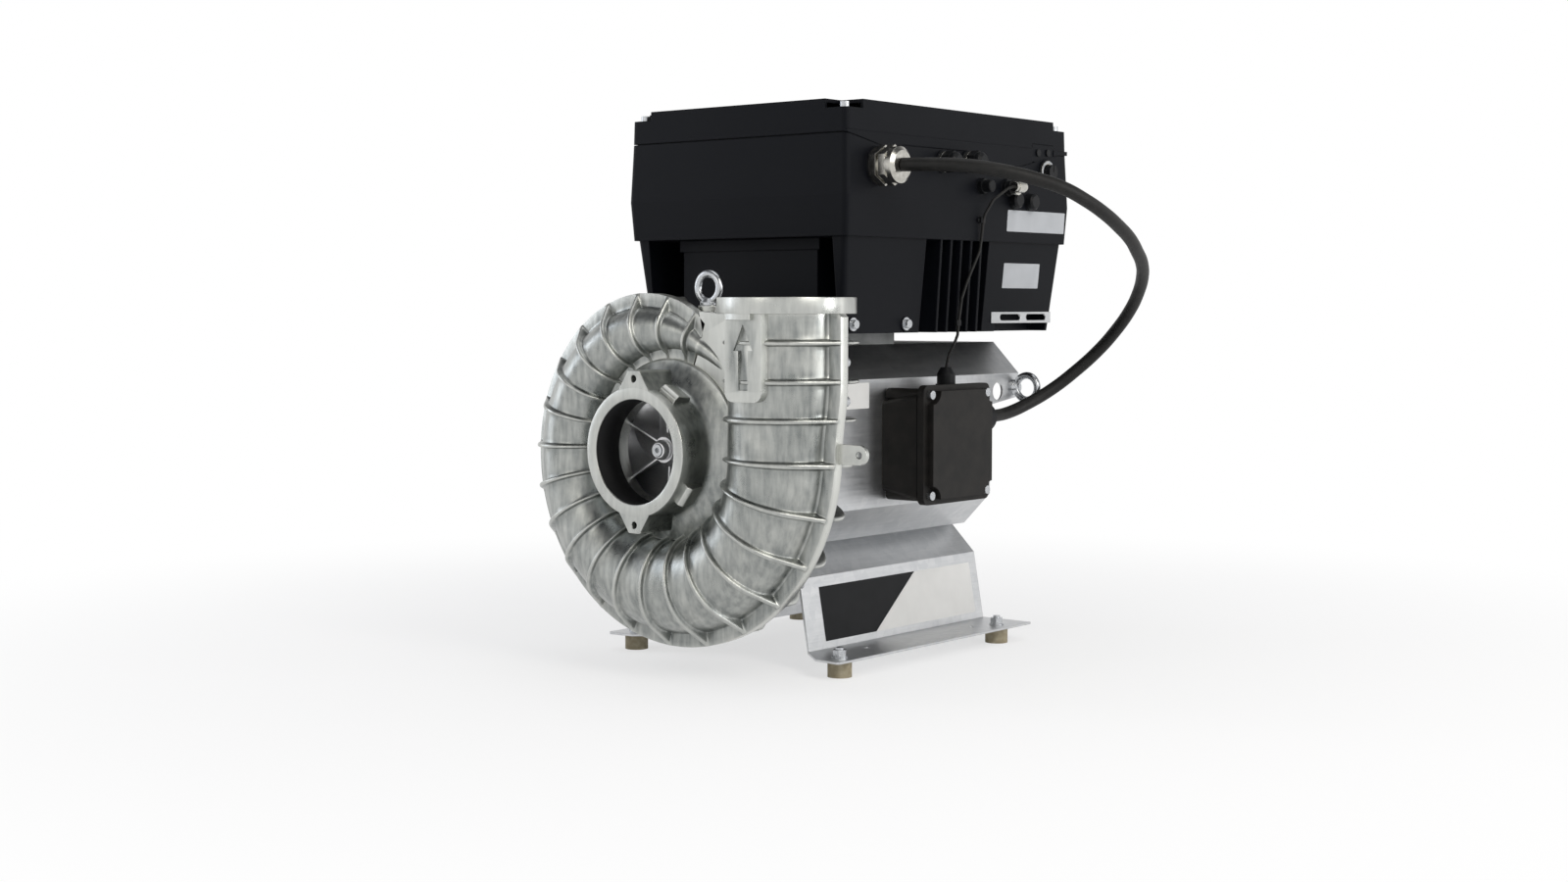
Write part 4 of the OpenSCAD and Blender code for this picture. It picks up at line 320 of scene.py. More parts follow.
SLOT_LOOKS = {
    "cast_aluminium": CAST, "motor_casting": MOTOR_CAST, "zinc_sheet": SHEET, "plated_steel": STEEL,
    "black_housing": COAT, "box_plastic": BOX_PLASTIC, "black_plastic": PLASTIC, "seal_rubber": SEAL,
    "cable_sheath": SHEATH, "nickel_plate": NICKEL, "buffer_rubber": BUFFER, "polished_aluminium": POLISHED,
    "core_steel": CORE, "copper": COPPER, "board": BOARD,
}
for part in frame["record"]["subparts"]:
    for place in frame["nodes"][part["node"]].material_slots:
        place.material = SLOT_LOOKS[part["material_slot"]]


# ---- Mesh tools: every shape is drawn in millimetres in the row frame ----
def piece(name, points, faces, material, slot, body="housing", smooth=True, replaces=()):
    """One named piece that rides on a body."""
    mesh = bpy.data.meshes.new(name)
    mesh.from_pydata([tuple(float(c) * MM for c in p) for p in points], [], [tuple(map(int, f)) for f in faces])
    work = bmesh.new()
    work.from_mesh(mesh)
    bmesh.ops.recalc_face_normals(work, faces=work.faces)
    work.to_mesh(mesh)
    work.free()
    mesh.materials.append(material)
    mesh.polygons.foreach_set("use_smooth", [smooth] * len(mesh.polygons))
    obj = bpy.data.objects.new(name, mesh)
    scene.collection.objects.link(obj)
    settle(obj, body, replaces)
    return obj


def settle(obj, body="housing", replaces=()):
    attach(obj, body)
    if replaces:
        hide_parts(*replaces)


def applied(obj):
    """Applies the modifiers on a piece."""
    bpy.context.view_layer.update()
    evaluated = obj.evaluated_get(bpy.context.evaluated_depsgraph_get())
    mesh = bpy.data.meshes.new_from_object(evaluated)
    obj.modifiers.clear()
    old = obj.data
    obj.data = mesh
    bpy.data.meshes.remove(old)


def rounded_edges(obj, width_mm, segments=2, angle=35):
    """Rounds the sharp edges of a piece and shades the rest smooth."""
    bevel = obj.modifiers.new("rounding", "BEVEL")
    bevel.width = width_mm * MM
    bevel.segments = segments
    bevel.limit_method = "ANGLE"
    bevel.angle_limit = math.radians(angle)
    bevel.harden_normals = True
    bevel.use_clamp_overlap = True
    applied(obj)
    obj.data.polygons.foreach_set("use_smooth", [True] * len(obj.data.polygons))
    return obj


def sharpen(obj, angle=30):
    """Marks edges sharper than the angle, so that flat faces stay flat."""
    work = bmesh.new()
    work.from_mesh(obj.data)
    for edge in work.edges:
        edge.smooth = not (len(edge.link_faces) == 2 and edge.calc_face_angle(0.0) > math.radians(angle))
    work.to_mesh(obj.data)
    work.free()
    return obj


def grid(rows, columns, ring=True, loop=False):
    """Quads over rows of points; ring closes each row, loop joins the last row to the first."""
    faces = []
    for i in range(rows if loop else rows - 1):
        for j in range(columns if ring else columns - 1):
            a, b = i * columns + j, i * columns + (j + 1) % columns
            c, d = (i + 1) % rows * columns + j, (i + 1) % rows * columns + (j + 1) % columns
            faces.append((a, b, d, c))
    return faces


def turned(profile, place, segments=96, first=0.0, last=360.0):
    """A closed profile of (radius, length) turned about an axis; place maps (u, v, length)."""
    whole = last - first >= 360
    steps = segments if whole else segments + 1
    points = []
    for i in range(steps):
        angle = math.radians(first + (last - first) * i / segments)
        points += [place(r * math.cos(angle), r * math.sin(angle), l) for r, l in profile]
    faces = grid(steps, len(profile), loop=whole)
    if not whole:
        last_row = (steps - 1) * len(profile)
        faces += [tuple(range(len(profile)))[::-1], tuple(last_row + i for i in range(len(profile)))]
    return points, faces


def prism(outline, place, low, high):
    """A flat outline drawn through from low to high; place maps (u, v, height)."""
    count = len(outline)
    points = [place(u, v, h) for h in (low, high) for u, v in outline]
    faces = [tuple(range(count))[::-1], tuple(range(count, 2 * count))]
    return points, faces + [(i, (i + 1) % count, count + (i + 1) % count, count + i) for i in range(count)]


def merged(*shapes):
    """Several (points, faces) shapes as one."""
    points, faces = [], []
    for shape_points, shape_faces in shapes:
        base = len(points)
        points += list(shape_points)
        faces += [tuple(base + i for i in f) for f in shape_faces]
    return points, faces


def arc(cx, cy, r, first, last, steps):
    """Points on an arc, its angles in degrees."""
    return [(cx + r * math.cos(math.radians(first + (last - first) * i / steps)),
             cy + r * math.sin(math.radians(first + (last - first) * i / steps))) for i in range(steps + 1)]


def cut_away(obj, points, faces):
    """Cuts a closed shape out of a piece."""
    mesh = bpy.data.meshes.new("cutter")
    mesh.from_pydata([tuple(c * MM for c in p) for p in points], [], faces)
    work = bmesh.new()
    work.from_mesh(mesh)
    bmesh.ops.recalc_face_normals(work, faces=work.faces)
    work.to_mesh(mesh)
    work.free()
    cutter = bpy.data.objects.new("cutter", mesh)
    scene.collection.objects.link(cutter)
    boolean = obj.modifiers.new("cut", "BOOLEAN")
    boolean.operation = "DIFFERENCE"
    boolean.solver = "EXACT"
    boolean.object = cutter
    applied(obj)
    bpy.data.objects.remove(cutter)
    bpy.data.meshes.remove(mesh)


def circle(cx, cy, r, steps=24):
    """A whole circle, without its first point twice."""
    return arc(cx, cy, r, 0, 360 - 360 / steps, steps - 1)


def to_y(y0):
    """Frame of a shape on the shaft axis: (u, v, length) to x, height and y."""
    return lambda u, v, l: (u, y0 + l, SHAFT_H + v)


def to_z(x, y, z0):
    """Frame of a shape that stands on (x, y)."""
    return lambda u, v, l: (x + u, y + v, z0 + l)


def upright(u, v, h):
    """Frame of an outline drawn as x and height above the floor, with y as its depth."""
    return u, h, v


# ---- Motor cable: 22 points of its route, in metres ----
CABLE_ROUTE = [(0.181, -0.092, 0.517), (0.215, -0.088, 0.516), (0.247, -0.077, 0.514), (0.275, -0.058, 0.509),
               (0.297, -0.034, 0.502), (0.314, -0.005, 0.493), (0.323, 0.026, 0.481), (0.326, 0.057, 0.469),
               (0.324, 0.089, 0.457), (0.319, 0.121, 0.445), (0.310, 0.151, 0.433), (0.299, 0.181, 0.421),
               (0.284, 0.209, 0.407), (0.266, 0.232, 0.390), (0.245, 0.250, 0.370), (0.222, 0.260, 0.348),
               (0.197, 0.262, 0.324), (0.174, 0.252, 0.301), (0.155, 0.234, 0.281), (0.140, 0.207, 0.265),
               (0.132, 0.176, 0.255), (0.130, 0.142, 0.252)]
CABLE_DIAMETER = 0.014

cable_curve = bpy.data.curves.new("motor_cable_sheath", "CURVE")
cable_curve.dimensions = "3D"
cable_curve.bevel_depth = CABLE_DIAMETER / 2 - 0.00005
cable_curve.bevel_resolution = 6
cable_curve.resolution_u = 8
cable_curve.use_fill_caps = True
line = cable_curve.splines.new("BEZIER")
line.bezier_points.add(len(CABLE_ROUTE) - 1)
for point, place in zip(line.bezier_points, CABLE_ROUTE):
    point.co = place
    point.handle_left_type = point.handle_right_type = "AUTO"
cable = bpy.data.objects.new("motor_cable_sheath", cable_curve)
scene.collection.objects.link(cable)
cable_curve.materials.append(SHEATH)
settle(cable, replaces=["motor_cable"])

# ---- Scroll: the rim grows fast at first, then steadily, and runs straight up into the outlet ----
RIM_TOP_R, RIM_SIDE_R, THROAT_START, THROAT_END = 154.0, 211.0, 100.0, 88.0
WALL, RIM_W, RIM_T, RIB_H, RIB_PITCH, RIB_DZ = 5.0, 14.0, 6.0, 5.0, 14.8, 37.3
FAST_SHARE, FAST_PACE, SLOW_POWER = 0.65, 0.19, 1.5
TURN, SCROLL_START, RIB_FIRST, RIB_COUNT = 270.0, -20.0, -13.4, 20
OUTLET_X, OUTLET_TUBE_R, OUTLET_R, FLANGE_R, FLANGE_T, OUTLET_H = 146.5, 57.0, 53.0, 68.0, 16.0, 383.5
COLUMN_TOP = OUTLET_H - FLANGE_T
TONGUE_DZ, FIRST_RIB_DZ, RISE_DZ = 24.0, 35.3, 70.0
FIRST_DZ = (3.0, 9.0, 16.0, 23.0, TONGUE_DZ)
TOP_RIM_W, TOP_SLOPE = 10.0, 3.0
INNER_RIM_W, INNER_RIM_DZ = 8.0, (42.0, 66.0)
RIM_EDGE, REAR_RIB_IN, REAR_RIB_BACK, REAR_RIB_TURN = 0.9, 0.6, 20.0, 72.0
# where each half ends on the wheel's side: outer and inner corner as (radius, depth), and the wall's two depths
LIPS = {-1: ((89.5, 6.0), (88.5, 2.0), 8.0, 3.0), 1: ((91.0, 26.0), (89.0, 19.0), 28.0, 20.0)}
RIB_OFFSETS = [0.0, 0.8, 1.5, 2.0, 2.4, 2.8, 3.3, 4.0]
RIB_SHAPE = [1.0, 0.985, 0.92, 0.74, 0.46, 0.2, 0.05, 0.0]


def smooth_step(u):
    """0 to 1 without a kink at either end."""
    u = min(max(u, 0.0), 1.0)
    return u * u * (3 - 2 * u)


def blend(a, b, s):
    return a + (b - a) * s


def rim_at(t):
    """Radius of the scroll's rim at a turn of t degrees from the top."""
    u = t / TURN
    fast = FAST_SHARE * (1 - math.exp(-u / FAST_PACE))
    return RIM_TOP_R + (RIM_SIDE_R - RIM_TOP_R) * (fast + (1 - FAST_SHARE) * max(u, 0) ** SLOW_POWER)


def throat_at(t):
    """Radius at which the channel begins, on the wheel's side."""
    return THROAT_START + (THROAT_END - THROAT_START) * t / TURN


def round_station(t, rib):
    """A place on the round part: direction outwards, channel centre and radius, rib height, closed or not, rims."""
    a = (rim_at(t) - RIM_W - throat_at(t)) / 2
    centre = throat_at(t) + a
    s, c = math.sin(math.radians(t)), math.cos(math.radians(t))
    return (-s, c), (-centre * s, SHAFT_H + centre * c), a, rib, False, 0.0, RIM_W


def straight_station(dz, rib):
    """The same for a place on the straight part, dz above the shaft."""
    s = smooth_step(dz / RISE_DZ)
    a0 = (rim_at(TURN) - RIM_W - throat_at(TURN)) / 2
    inner = INNER_RIM_W * smooth_step((dz - INNER_RIM_DZ[0]) / (INNER_RIM_DZ[1] - INNER_RIM_DZ[0]))
    rim = TOP_RIM_W if dz > COLUMN_TOP - SHAFT_H else RIM_W
    centre = (blend(throat_at(TURN) + a0, OUTLET_X, s), SHAFT_H + dz)
    return (1.0, 0.0), centre, blend(a0, OUTLET_TUBE_R, s), rib, dz >= TONGUE_DZ, inner, rim


def stations(fill):
    """Stations along the scroll, close together over each rib."""
    bumps = list(zip(RIB_OFFSETS, RIB_SHAPE))
    bumps = [(-d, f) for d, f in bumps[:0:-1]] + bumps
    rows = [round_station(SCROLL_START, 0.0)]
    last = SCROLL_START
    per_mm = math.degrees(1 / RIM_TOP_R)
    for i in range(RIB_COUNT):
        t = RIB_FIRST + i * RIB_PITCH
        begin = t - RIB_OFFSETS[-1] * per_mm
        rows += [round_station(blend(last, begin, k / fill), 0.0) for k in range(1, fill)]
        rows += [round_station(t + d * per_mm, f) for d, f in bumps]
        last = t + RIB_OFFSETS[-1] * per_mm
    marks = [(FIRST_RIB_DZ + i * RIB_DZ) for i in range(3)]
    rows += [straight_station(dz, 0.0) for dz in FIRST_DZ]
    dz_last = TONGUE_DZ
    for mark in marks:
        begin = mark - RIB_OFFSETS[-1]
        rows += [straight_station(blend(dz_last, begin, k / fill), 0.0) for k in range(1, fill)]
        rows += [straight_station(mark + d, f) for d, f in bumps]
        dz_last = mark + RIB_OFFSETS[-1]
    slope_dz = COLUMN_TOP - TOP_SLOPE - SHAFT_H
    rows += [straight_station(blend(dz_last, slope_dz, k / 4), 0.0) for k in range(1, 5)]
    rows.append(straight_station(COLUMN_TOP + 1 - SHAFT_H, 0.0))
    return rows


def rib_radius(a, reach, p):
    """Height of a rib over the channel axis at angle p: round, or straight down to the edge of the rim."""
    h, q, m = a + RIB_H, math.atan2(RIM_T, reach), math.hypot(reach, RIM_T)
    b = q + math.acos(min(1.0, h / m))
    return h if m <= h or p >= b else h / math.cos(b - p)


def rear_rib_radius(a, reach, p):
    """The rear half's ribs run straight back from the edge of the rim before they turn in."""
    x, back, last = reach - REAR_RIB_IN, REAR_RIB_BACK, math.radians(REAR_RIB_TURN)
    turn = math.atan2(back, x)
    if p <= turn:
        return x / math.cos(p)
    return a + RIB_H + (math.hypot(x, back) - a - RIB_H) * smooth_step((last - p) / (last - turn))


def wall_radius(a, p, fillet=3.0):
    """The plain channel with its flat rim and the fillet between them, as a radius at angle p."""
    cx = math.sqrt((a + fillet) ** 2 - (RIM_T + fillet) ** 2)
    centre = (cx, RIM_T + fillet)
    low, high = math.atan2(RIM_T, cx), math.atan2(centre[1], centre[0])
    if p <= low:
        return RIM_T / math.sin(p)
    if p >= high:
        return a
    along = math.cos(p) * centre[0] + math.sin(p) * centre[1]
    return along - math.sqrt(max(along ** 2 - centre[0] ** 2 - centre[1] ** 2 + fillet ** 2, 0.0))


def section(station, side, outer_n, flat_n, inner_n):
    """Cross-section of one half as (distance along the rim direction, distance from the split plane)."""
    direction, centre, a, rib, closed, rim_in, rim_w = station
    rc = centre[0] * direction[0] + (centre[1] - SHAFT_H) * direction[1]
    lip, lip_in, v_end, v_in = LIPS[side]
    reach, ai = a + rim_w, a - WALL
    p_start = math.atan2(RIM_T, reach - RIM_EDGE)
    p0 = math.asin(RIM_T / a) + 0.12
    p1 = math.pi - (math.asin(RIM_T / a) if closed else math.asin(min(1.0, v_end / a)))
    q1 = math.pi - (0.0 if closed else math.asin(min(1.0, v_in / ai)))
    points = [(reach, 0.0), (reach, RIM_T - RIM_EDGE), (reach - RIM_EDGE * 0.3, RIM_T - RIM_EDGE * 0.3)]
    angles = [blend(p_start, p0, i / flat_n) for i in range(flat_n)] + [
        blend(p0, p1, i / outer_n) for i in range(outer_n + 1)]
    for p in angles:
        plain = wall_radius(a, p)
        high = (rib_radius if side < 0 else rear_rib_radius)(a, reach, max(p, math.atan2(RIM_T, reach)))
        if closed:
            high = min(high, rib_radius(a, a + rim_in, math.pi - p)) if p > math.pi / 2 else high
            if p > math.pi / 2:
                plain = wall_radius(a, math.pi - p) if math.pi - p > math.atan2(RIM_T, a + 30) else a
        r = blend(plain, max(high, plain), rib)
        points.append((r * math.cos(p), r * math.sin(p)))
    if closed:
        points += [(-a - rim_in - 0.01, RIM_T), (-a - rim_in - 0.01, 0.0)]
    else:
        points += [(lip[0] - rc, lip[1]), (lip_in[0] - rc, lip_in[1])]
    return points + [(ai * math.cos(blend(q1, 0, i / inner_n)), ai * math.sin(blend(q1, 0, i / inner_n)))
                     for i in range(inner_n + 1)]


def scroll_half(side, fill, outer_n, flat_n, inner_n):
    """One half of the scroll (front -1, rear 1), kept inside the box of the solid it stands for."""
    rows = [(s, section(s, side, outer_n, flat_n, inner_n)) for s in stations(fill)]
    count = len(rows[0][1])
    points = [(s[1][0] + s[0][0] * u, SPLIT_Y + side * v, s[1][1] + s[0][1] * u)
              for s, row in rows for u, v in row]
    faces = grid(len(rows), count)
    faces += [tuple(range(count)), tuple((len(rows) - 1) * count + i for i in range(count))[::-1]]
    low, high = (Vector(c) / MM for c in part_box("volute_cover" if side < 0 else "volute_back"))
    points = [tuple(min(max(c, lo), hi) for c, lo, hi in zip(p, low, high)) for p in points]
    return points, faces


front_scroll = piece("scroll_front_half", *scroll_half(-1, 8, 30, 5, 10), CAST, "cast_aluminium",
                     replaces=["volute_cover"])
rear_scroll = piece("scroll_rear_half", *scroll_half(1, 6, 22, 4, 8), CAST, "cast_aluminium",
                    replaces=["volute_back"])
for half in (front_scroll, rear_scroll):
    sharpen(half, 42)

# ---- Inlet: a collar that flares into the scroll, with two ears and two moulded lugs ----
INLET_R, INLET_RING_R, INLET_LEN = 52.5, 65.0, 61.0
INLET_Y = SPLIT_Y - INLET_LEN
EAR_BOLT, EAR_EDGE, EAR_TIP, EAR_ROOT, EAR_ROOT_Z, EAR_BACK = 73.0, 8.3, 9.0, 23.0, 50.0, 50.0
EAR_CORNER, EAR_HOLE_R, EAR_HOLE_L, COLLAR_EDGE = 3.0, 3.5, 25.0, 1.2
LUG_ANGLES, LUG_HALF = (-58.4, 37.0), 11.5
collar = [(INLET_R, 1.2), (INLET_R + 0.35, 0.35), (INLET_R + 1.2, 0), (INLET_RING_R - 1.2, 0),
          (INLET_RING_R - 0.35, 0.35), (INLET_RING_R, 1.2), (65.6, 14), (66.3, 28), (67.2, 35), (68.8, 38.4),
          (72, 41), (78, 44.8), (84, 48.4), (87.4, 50.5), (89.6, 51.3), (91.4, 51.9), (92, 52.6), (92, 60.9),
          (86.5, 60.9), (86.5, 57), (80, 52.4), (66, 42.8), (56, 36.4), (53.2, 34.6), (INLET_R, 33)]
piece("inlet_collar", *turned(collar, to_y(INLET_Y), 128), CAST, "cast_aluminium")
bore_wall = [(INLET_R, 1.6), (INLET_R, 33), (53.2, 34.6), (56, 36.4), (66, 42.8), (80, 52.4), (86.4, 57)]
# a thin near-black sheet just inside the bore wall: painted shade for the dark inside of the inlet
bore_shade_sheet = [(r - 0.02, l) for r, l in bore_wall] + [(r - 0.3, l) for r, l in bore_wall[::-1]]
piece("inlet_bore_shade_sheet", *turned(bore_shade_sheet, to_y(INLET_Y), 128), BORE_SHADE_PAINT, None)


def ear_outline():
    """The face of the collar with its two ears, going round once."""
    tip_z, outline = EAR_BOLT + EAR_EDGE, []
    slope = (EAR_ROOT - EAR_TIP) / (tip_z - EAR_ROOT_Z)
    # the ear's side meets the circle where x = EAR_TIP + slope (tip - z)
    k = EAR_TIP + slope * tip_z
    low, high, ring_r = 0.0, 90.0, INLET_RING_R - COLLAR_EDGE
    for _ in range(40):
        middle = (low + high) / 2
        x, z = ring_r * math.cos(math.radians(middle)), ring_r * math.sin(math.radians(middle))
        low, high = (middle, high) if x > k - slope * z else (low, middle)
    join = low
    for flip in (0, 180):
        turn = math.radians(flip)
        corner = arc(EAR_TIP - EAR_CORNER, tip_z - EAR_CORNER, EAR_CORNER, 12, 90, 5)
        corner += arc(-EAR_TIP + EAR_CORNER, tip_z - EAR_CORNER, EAR_CORNER, 90, 168, 5)
        half = arc(0, 0, ring_r, -join, join, 44)[1:-1]
        shape = half + corner
        outline += [(u * math.cos(turn) - v * math.sin(turn), u * math.sin(turn) + v * math.cos(turn))
                    for u, v in shape]
    return outline


ears = piece("inlet_face_with_ears", *prism(ear_outline(), to_y(INLET_Y), 0.02, EAR_BACK), CAST,
             "cast_aluminium")
cut_away(ears, *prism(circle(0, 0, INLET_R + 1.5, 120), to_y(INLET_Y), -2, 70))
for s in (-1, 1):
    cut_away(ears, *prism(circle(0, s * EAR_BOLT, EAR_HOLE_R), to_y(INLET_Y), -1, EAR_HOLE_L))
rounded_edges(ears, 1.0, 3, 40)

for i, angle in enumerate(LUG_ANGLES):
    turn = math.radians(angle)
    lug = [(60, 11), (69.5, 11), (72.6, 14.5), (73, 16), (70.4, 33), (69.6, 34), (60, 34)]

    def lug_frame(u, v, w, c=math.cos(turn), s=math.sin(turn)):
        return (u * c + w * s, INLET_Y + v, SHAFT_H - u * s + w * c)
    solid = prism(lug, lug_frame, -LUG_HALF, LUG_HALF)
    rounded_edges(piece("inlet_lug_%d" % (i + 1), *solid, CAST, "cast_aluminium"), 1.2, 3)

# ---- The tail in which the channel runs out at its start, and the web between there and the outlet ----
TAIL_TURN, TAIL_STEPS, TAIL_ROUND, TAIL_END_R = 37.0, 24, 20, 2.0
tail_r = (rim_at(SCROLL_START) - RIM_W - throat_at(SCROLL_START)) / 2
tail_points = []
for i in range(TAIL_STEPS + 1):
    t, half_width = SCROLL_START - TAIL_TURN * i / TAIL_STEPS, blend(tail_r, TAIL_END_R, i / TAIL_STEPS)
    s, c, centre = math.sin(math.radians(t)), math.cos(math.radians(t)), throat_at(t) + half_width
    for j in range(TAIL_ROUND + 1):
        r = centre + half_width * math.cos(math.pi * j / TAIL_ROUND)
        tail_points.append((-r * s, SPLIT_Y - half_width * math.sin(math.pi * j / TAIL_ROUND), SHAFT_H + r * c))
tail_faces = grid(TAIL_STEPS + 1, TAIL_ROUND + 1)
tail_last = TAIL_STEPS * (TAIL_ROUND + 1)
tail_faces += [tuple(range(TAIL_ROUND + 1)), tuple(tail_last + j for j in range(TAIL_ROUND + 1))[::-1]]
sharpen(piece("scroll_start_tail", tail_points, tail_faces, CAST, "cast_aluminium"), 50)
COLUMN_SEAT_Z, WEB_R, WEB_EDGE_R = 368.4, 91.0, 125.0
web = [(38, 370), (80, 367), (80, COLUMN_SEAT_Z), (91.5, COLUMN_SEAT_Z), (91.5, 285)]
for r, angle in [(WEB_R, -59 + i * 6.4) for i in range(7)] + [(WEB_EDGE_R, SCROLL_START)]:
    web.append((-r * math.sin(math.radians(angle)), SHAFT_H + r * math.cos(math.radians(angle))))
for side, name in ((-1, "web_front"), (1, "web_rear")):
    plate = piece(name, *prism(web, upright, SPLIT_Y - (RIM_T if side < 0 else 0),
                               SPLIT_Y + (0 if side < 0 else RIM_T)), CAST, "cast_aluminium")
    rounded_edges(plate, 0.8)

# ---- Outlet flange in two halves, with its four bolt holes ----
FLANGE_BOLT_R, FLANGE_PITCH_R = 2.75, 60.8
flange_profile = [(OUTLET_R, 0.6), (OUTLET_R, FLANGE_T - 0.8), (OUTLET_R + 0.8, FLANGE_T),
                  (FLANGE_R - 0.9, FLANGE_T), (FLANGE_R - 0.25, FLANGE_T - 0.25), (FLANGE_R, FLANGE_T - 0.9),
                  (FLANGE_R, 0.9), (FLANGE_R - 0.25, 0.25), (FLANGE_R - 0.9, 0)]
for side, name in ((-1, "outlet_flange_front"), (1, "outlet_flange_rear")):
    flange = piece(name, *turned(flange_profile + [(OUTLET_R, 0)], to_z(OUTLET_X, SPLIT_Y, COLUMN_TOP), 64,
                                 0 if side > 0 else 180, 180 if side > 0 else 360), CAST, "cast_aluminium")
    for angle in ((45, 135) if side > 0 else (225, 315)):
        u, v = FLANGE_PITCH_R * math.cos(math.radians(angle)), FLANGE_PITCH_R * math.sin(math.radians(angle))
        cut_away(flange, *prism(circle(u, v, FLANGE_BOLT_R), to_z(OUTLET_X, SPLIT_Y, COLUMN_TOP), 3, 20))
    sharpen(flange)

# ---- Plaque with the recessed arrow that shows the way the air leaves ----
PLAQUE_X, PLAQUE_LOW, PLAQUE_CORNER, PLAQUE_PROUD, PLAQUE_DEEP = (121.5, 167.0), 283.5, 10.0, 6.0, 30.0
ARROW_TIP_Z, ARROW_BARB_Z, ARROW_FOOT_Z = 357.7, 332.5, 295.0
ARROW_HEAD, ARROW_SHAFT, ARROW_DEEP = 12.0, 6.0, 2.4
face_y = SPLIT_Y - OUTLET_TUBE_R - PLAQUE_PROUD
corner_z = PLAQUE_LOW + PLAQUE_CORNER
plaque = arc(PLAQUE_X[0] + PLAQUE_CORNER, corner_z, PLAQUE_CORNER, 180, 270, 8)
plaque += arc(PLAQUE_X[1] - PLAQUE_CORNER, corner_z, PLAQUE_CORNER, 270, 360, 8)
plaque += [(PLAQUE_X[1], COLUMN_SEAT_Z), (PLAQUE_X[0], COLUMN_SEAT_Z)]
arrow_plate = piece("arrow_plaque", *prism(plaque, upright, face_y, face_y + PLAQUE_DEEP), CAST,
                    "cast_aluminium")
cut_away(arrow_plate, *prism(circle(OUTLET_X, SPLIT_Y, OUTLET_TUBE_R - 2.5, 120), to_z(0, 0, 0), 280, 370))
middle = sum(PLAQUE_X) / 2
arrow = [(middle, ARROW_TIP_Z), (middle - ARROW_HEAD, ARROW_BARB_Z), (middle - ARROW_SHAFT, ARROW_BARB_Z),
         (middle - ARROW_SHAFT, ARROW_FOOT_Z), (middle + ARROW_SHAFT, ARROW_FOOT_Z),
         (middle + ARROW_SHAFT, ARROW_BARB_Z), (middle + ARROW_HEAD, ARROW_BARB_Z)]
cut_away(arrow_plate, *prism(arrow, upright, face_y - 1, face_y + ARROW_DEEP))
rounded_edges(arrow_plate, 0.45, 2, 30)
STEP_R, STEP_LOW = 67.4, 361.7
step_arc = [(OUTLET_X + STEP_R * math.sin(math.radians(a)), SPLIT_Y - STEP_R * math.cos(math.radians(a)))
            for a in range(-21, 9)]
# the step reaches back from the flange's rim to the front of the tube
step_back = SPLIT_Y - OUTLET_TUBE_R
step_outline = step_arc + [(step_arc[-1][0], step_back), (step_arc[0][0], step_back)]
rounded_edges(piece("flange_step", *prism(step_outline, to_z(0, 0, 0), STEP_LOW, COLUMN_TOP + 1), CAST,
                    "cast_aluminium"), 0.5)

# ---- Rear half: back plate, tongue, side ear and eye boss ----
back_plate = [(20, 18), (95, 18), (95, 26.4), (94.4, 27), (20, 27)]
piece("scroll_back_plate", *turned(back_plate, to_y(SPLIT_Y), 96), CAST, "cast_aluminium")
tongue = [(88.5, 0), (93, 0), (93, 24), (88.5, 24)]
piece("scroll_tongue", *turned(tongue, to_y(SPLIT_Y), 24, 13, 70), CAST, "cast_aluminium", smooth=False)
SIDE_EAR_X, SIDE_EAR_Z, SIDE_EAR_R, SIDE_EAR_T = 234.4, 233.8, 9.4, 4.5
SIDE_HOLE_X, SIDE_HOLE_R, SIDE_EAR_ROOT_X, SIDE_EAR_ROOT = 234.6, 3.5, 200.0, 10.0
ear = arc(SIDE_EAR_X, SIDE_EAR_Z, SIDE_EAR_R, -90, 90, 16)
ear += [(SIDE_EAR_ROOT_X, SIDE_EAR_Z + SIDE_EAR_ROOT), (SIDE_EAR_ROOT_X, SIDE_EAR_Z - SIDE_EAR_ROOT)]
side_ear = piece("side_ear", *prism(ear, upright, SPLIT_Y, SPLIT_Y + SIDE_EAR_T), CAST, "cast_aluminium")
cut_away(side_ear, *prism(circle(SIDE_HOLE_X, SIDE_EAR_Z, SIDE_HOLE_R), upright, SPLIT_Y - 1, SPLIT_Y + 8))
rounded_edges(side_ear, 0.8)
EYE_X, EYE_Y, EYE_BOSS_R, EYE_BOSS_Z = 30.0, -216.0, 11.0, (348.0, 375.6)
eye_boss = prism(circle(0, 0, EYE_BOSS_R, 48), to_z(EYE_X, EYE_Y, 0), *EYE_BOSS_Z)
rounded_edges(piece("eye_bolt_boss", *eye_boss, CAST, "cast_aluminium"), 0.8)

# ---- Impeller: six thin blades that rise from the hub disc ----
WHEEL_R, HUB_FRONT_R, HUB_BORE_R, WHEEL_BACK, BLADES = 85.0, 13.0, 10.2, 16.0, 6
HUB_RIM_V, HUB_RISE, HUB_POWER = 11.5, 28.5, 5
BLADE_T, BLADE_SWEEP, BLADE_START = 3.8, 72.0, 63.0


def hub_v(r):
    """Depth of the hub's front face at a radius, from the split plane."""
    return HUB_RIM_V - HUB_RISE * ((WHEEL_R - r) / (WHEEL_R - HUB_FRONT_R)) ** HUB_POWER


def blade_point(s, q, side, thick):
    """Radius, depth and angle of a point s along a blade and q of the way from its root to its edge."""
    root_r, tip_r = blend(14, WHEEL_R, s), blend(67, WHEEL_R, s)
    r = blend(root_r, tip_r, q)
    root_v = hub_v(root_r) + blend(6, 1, min(1, 3 * s))
    v = blend(root_v, blend(-15.5, -2.5, s), q)
    lean = BLADE_SWEEP * (0.25 * s + 0.75 * s * s)
    angle = BLADE_START - lean + side * math.degrees(thick / 2 / r)
    return r, v, angle


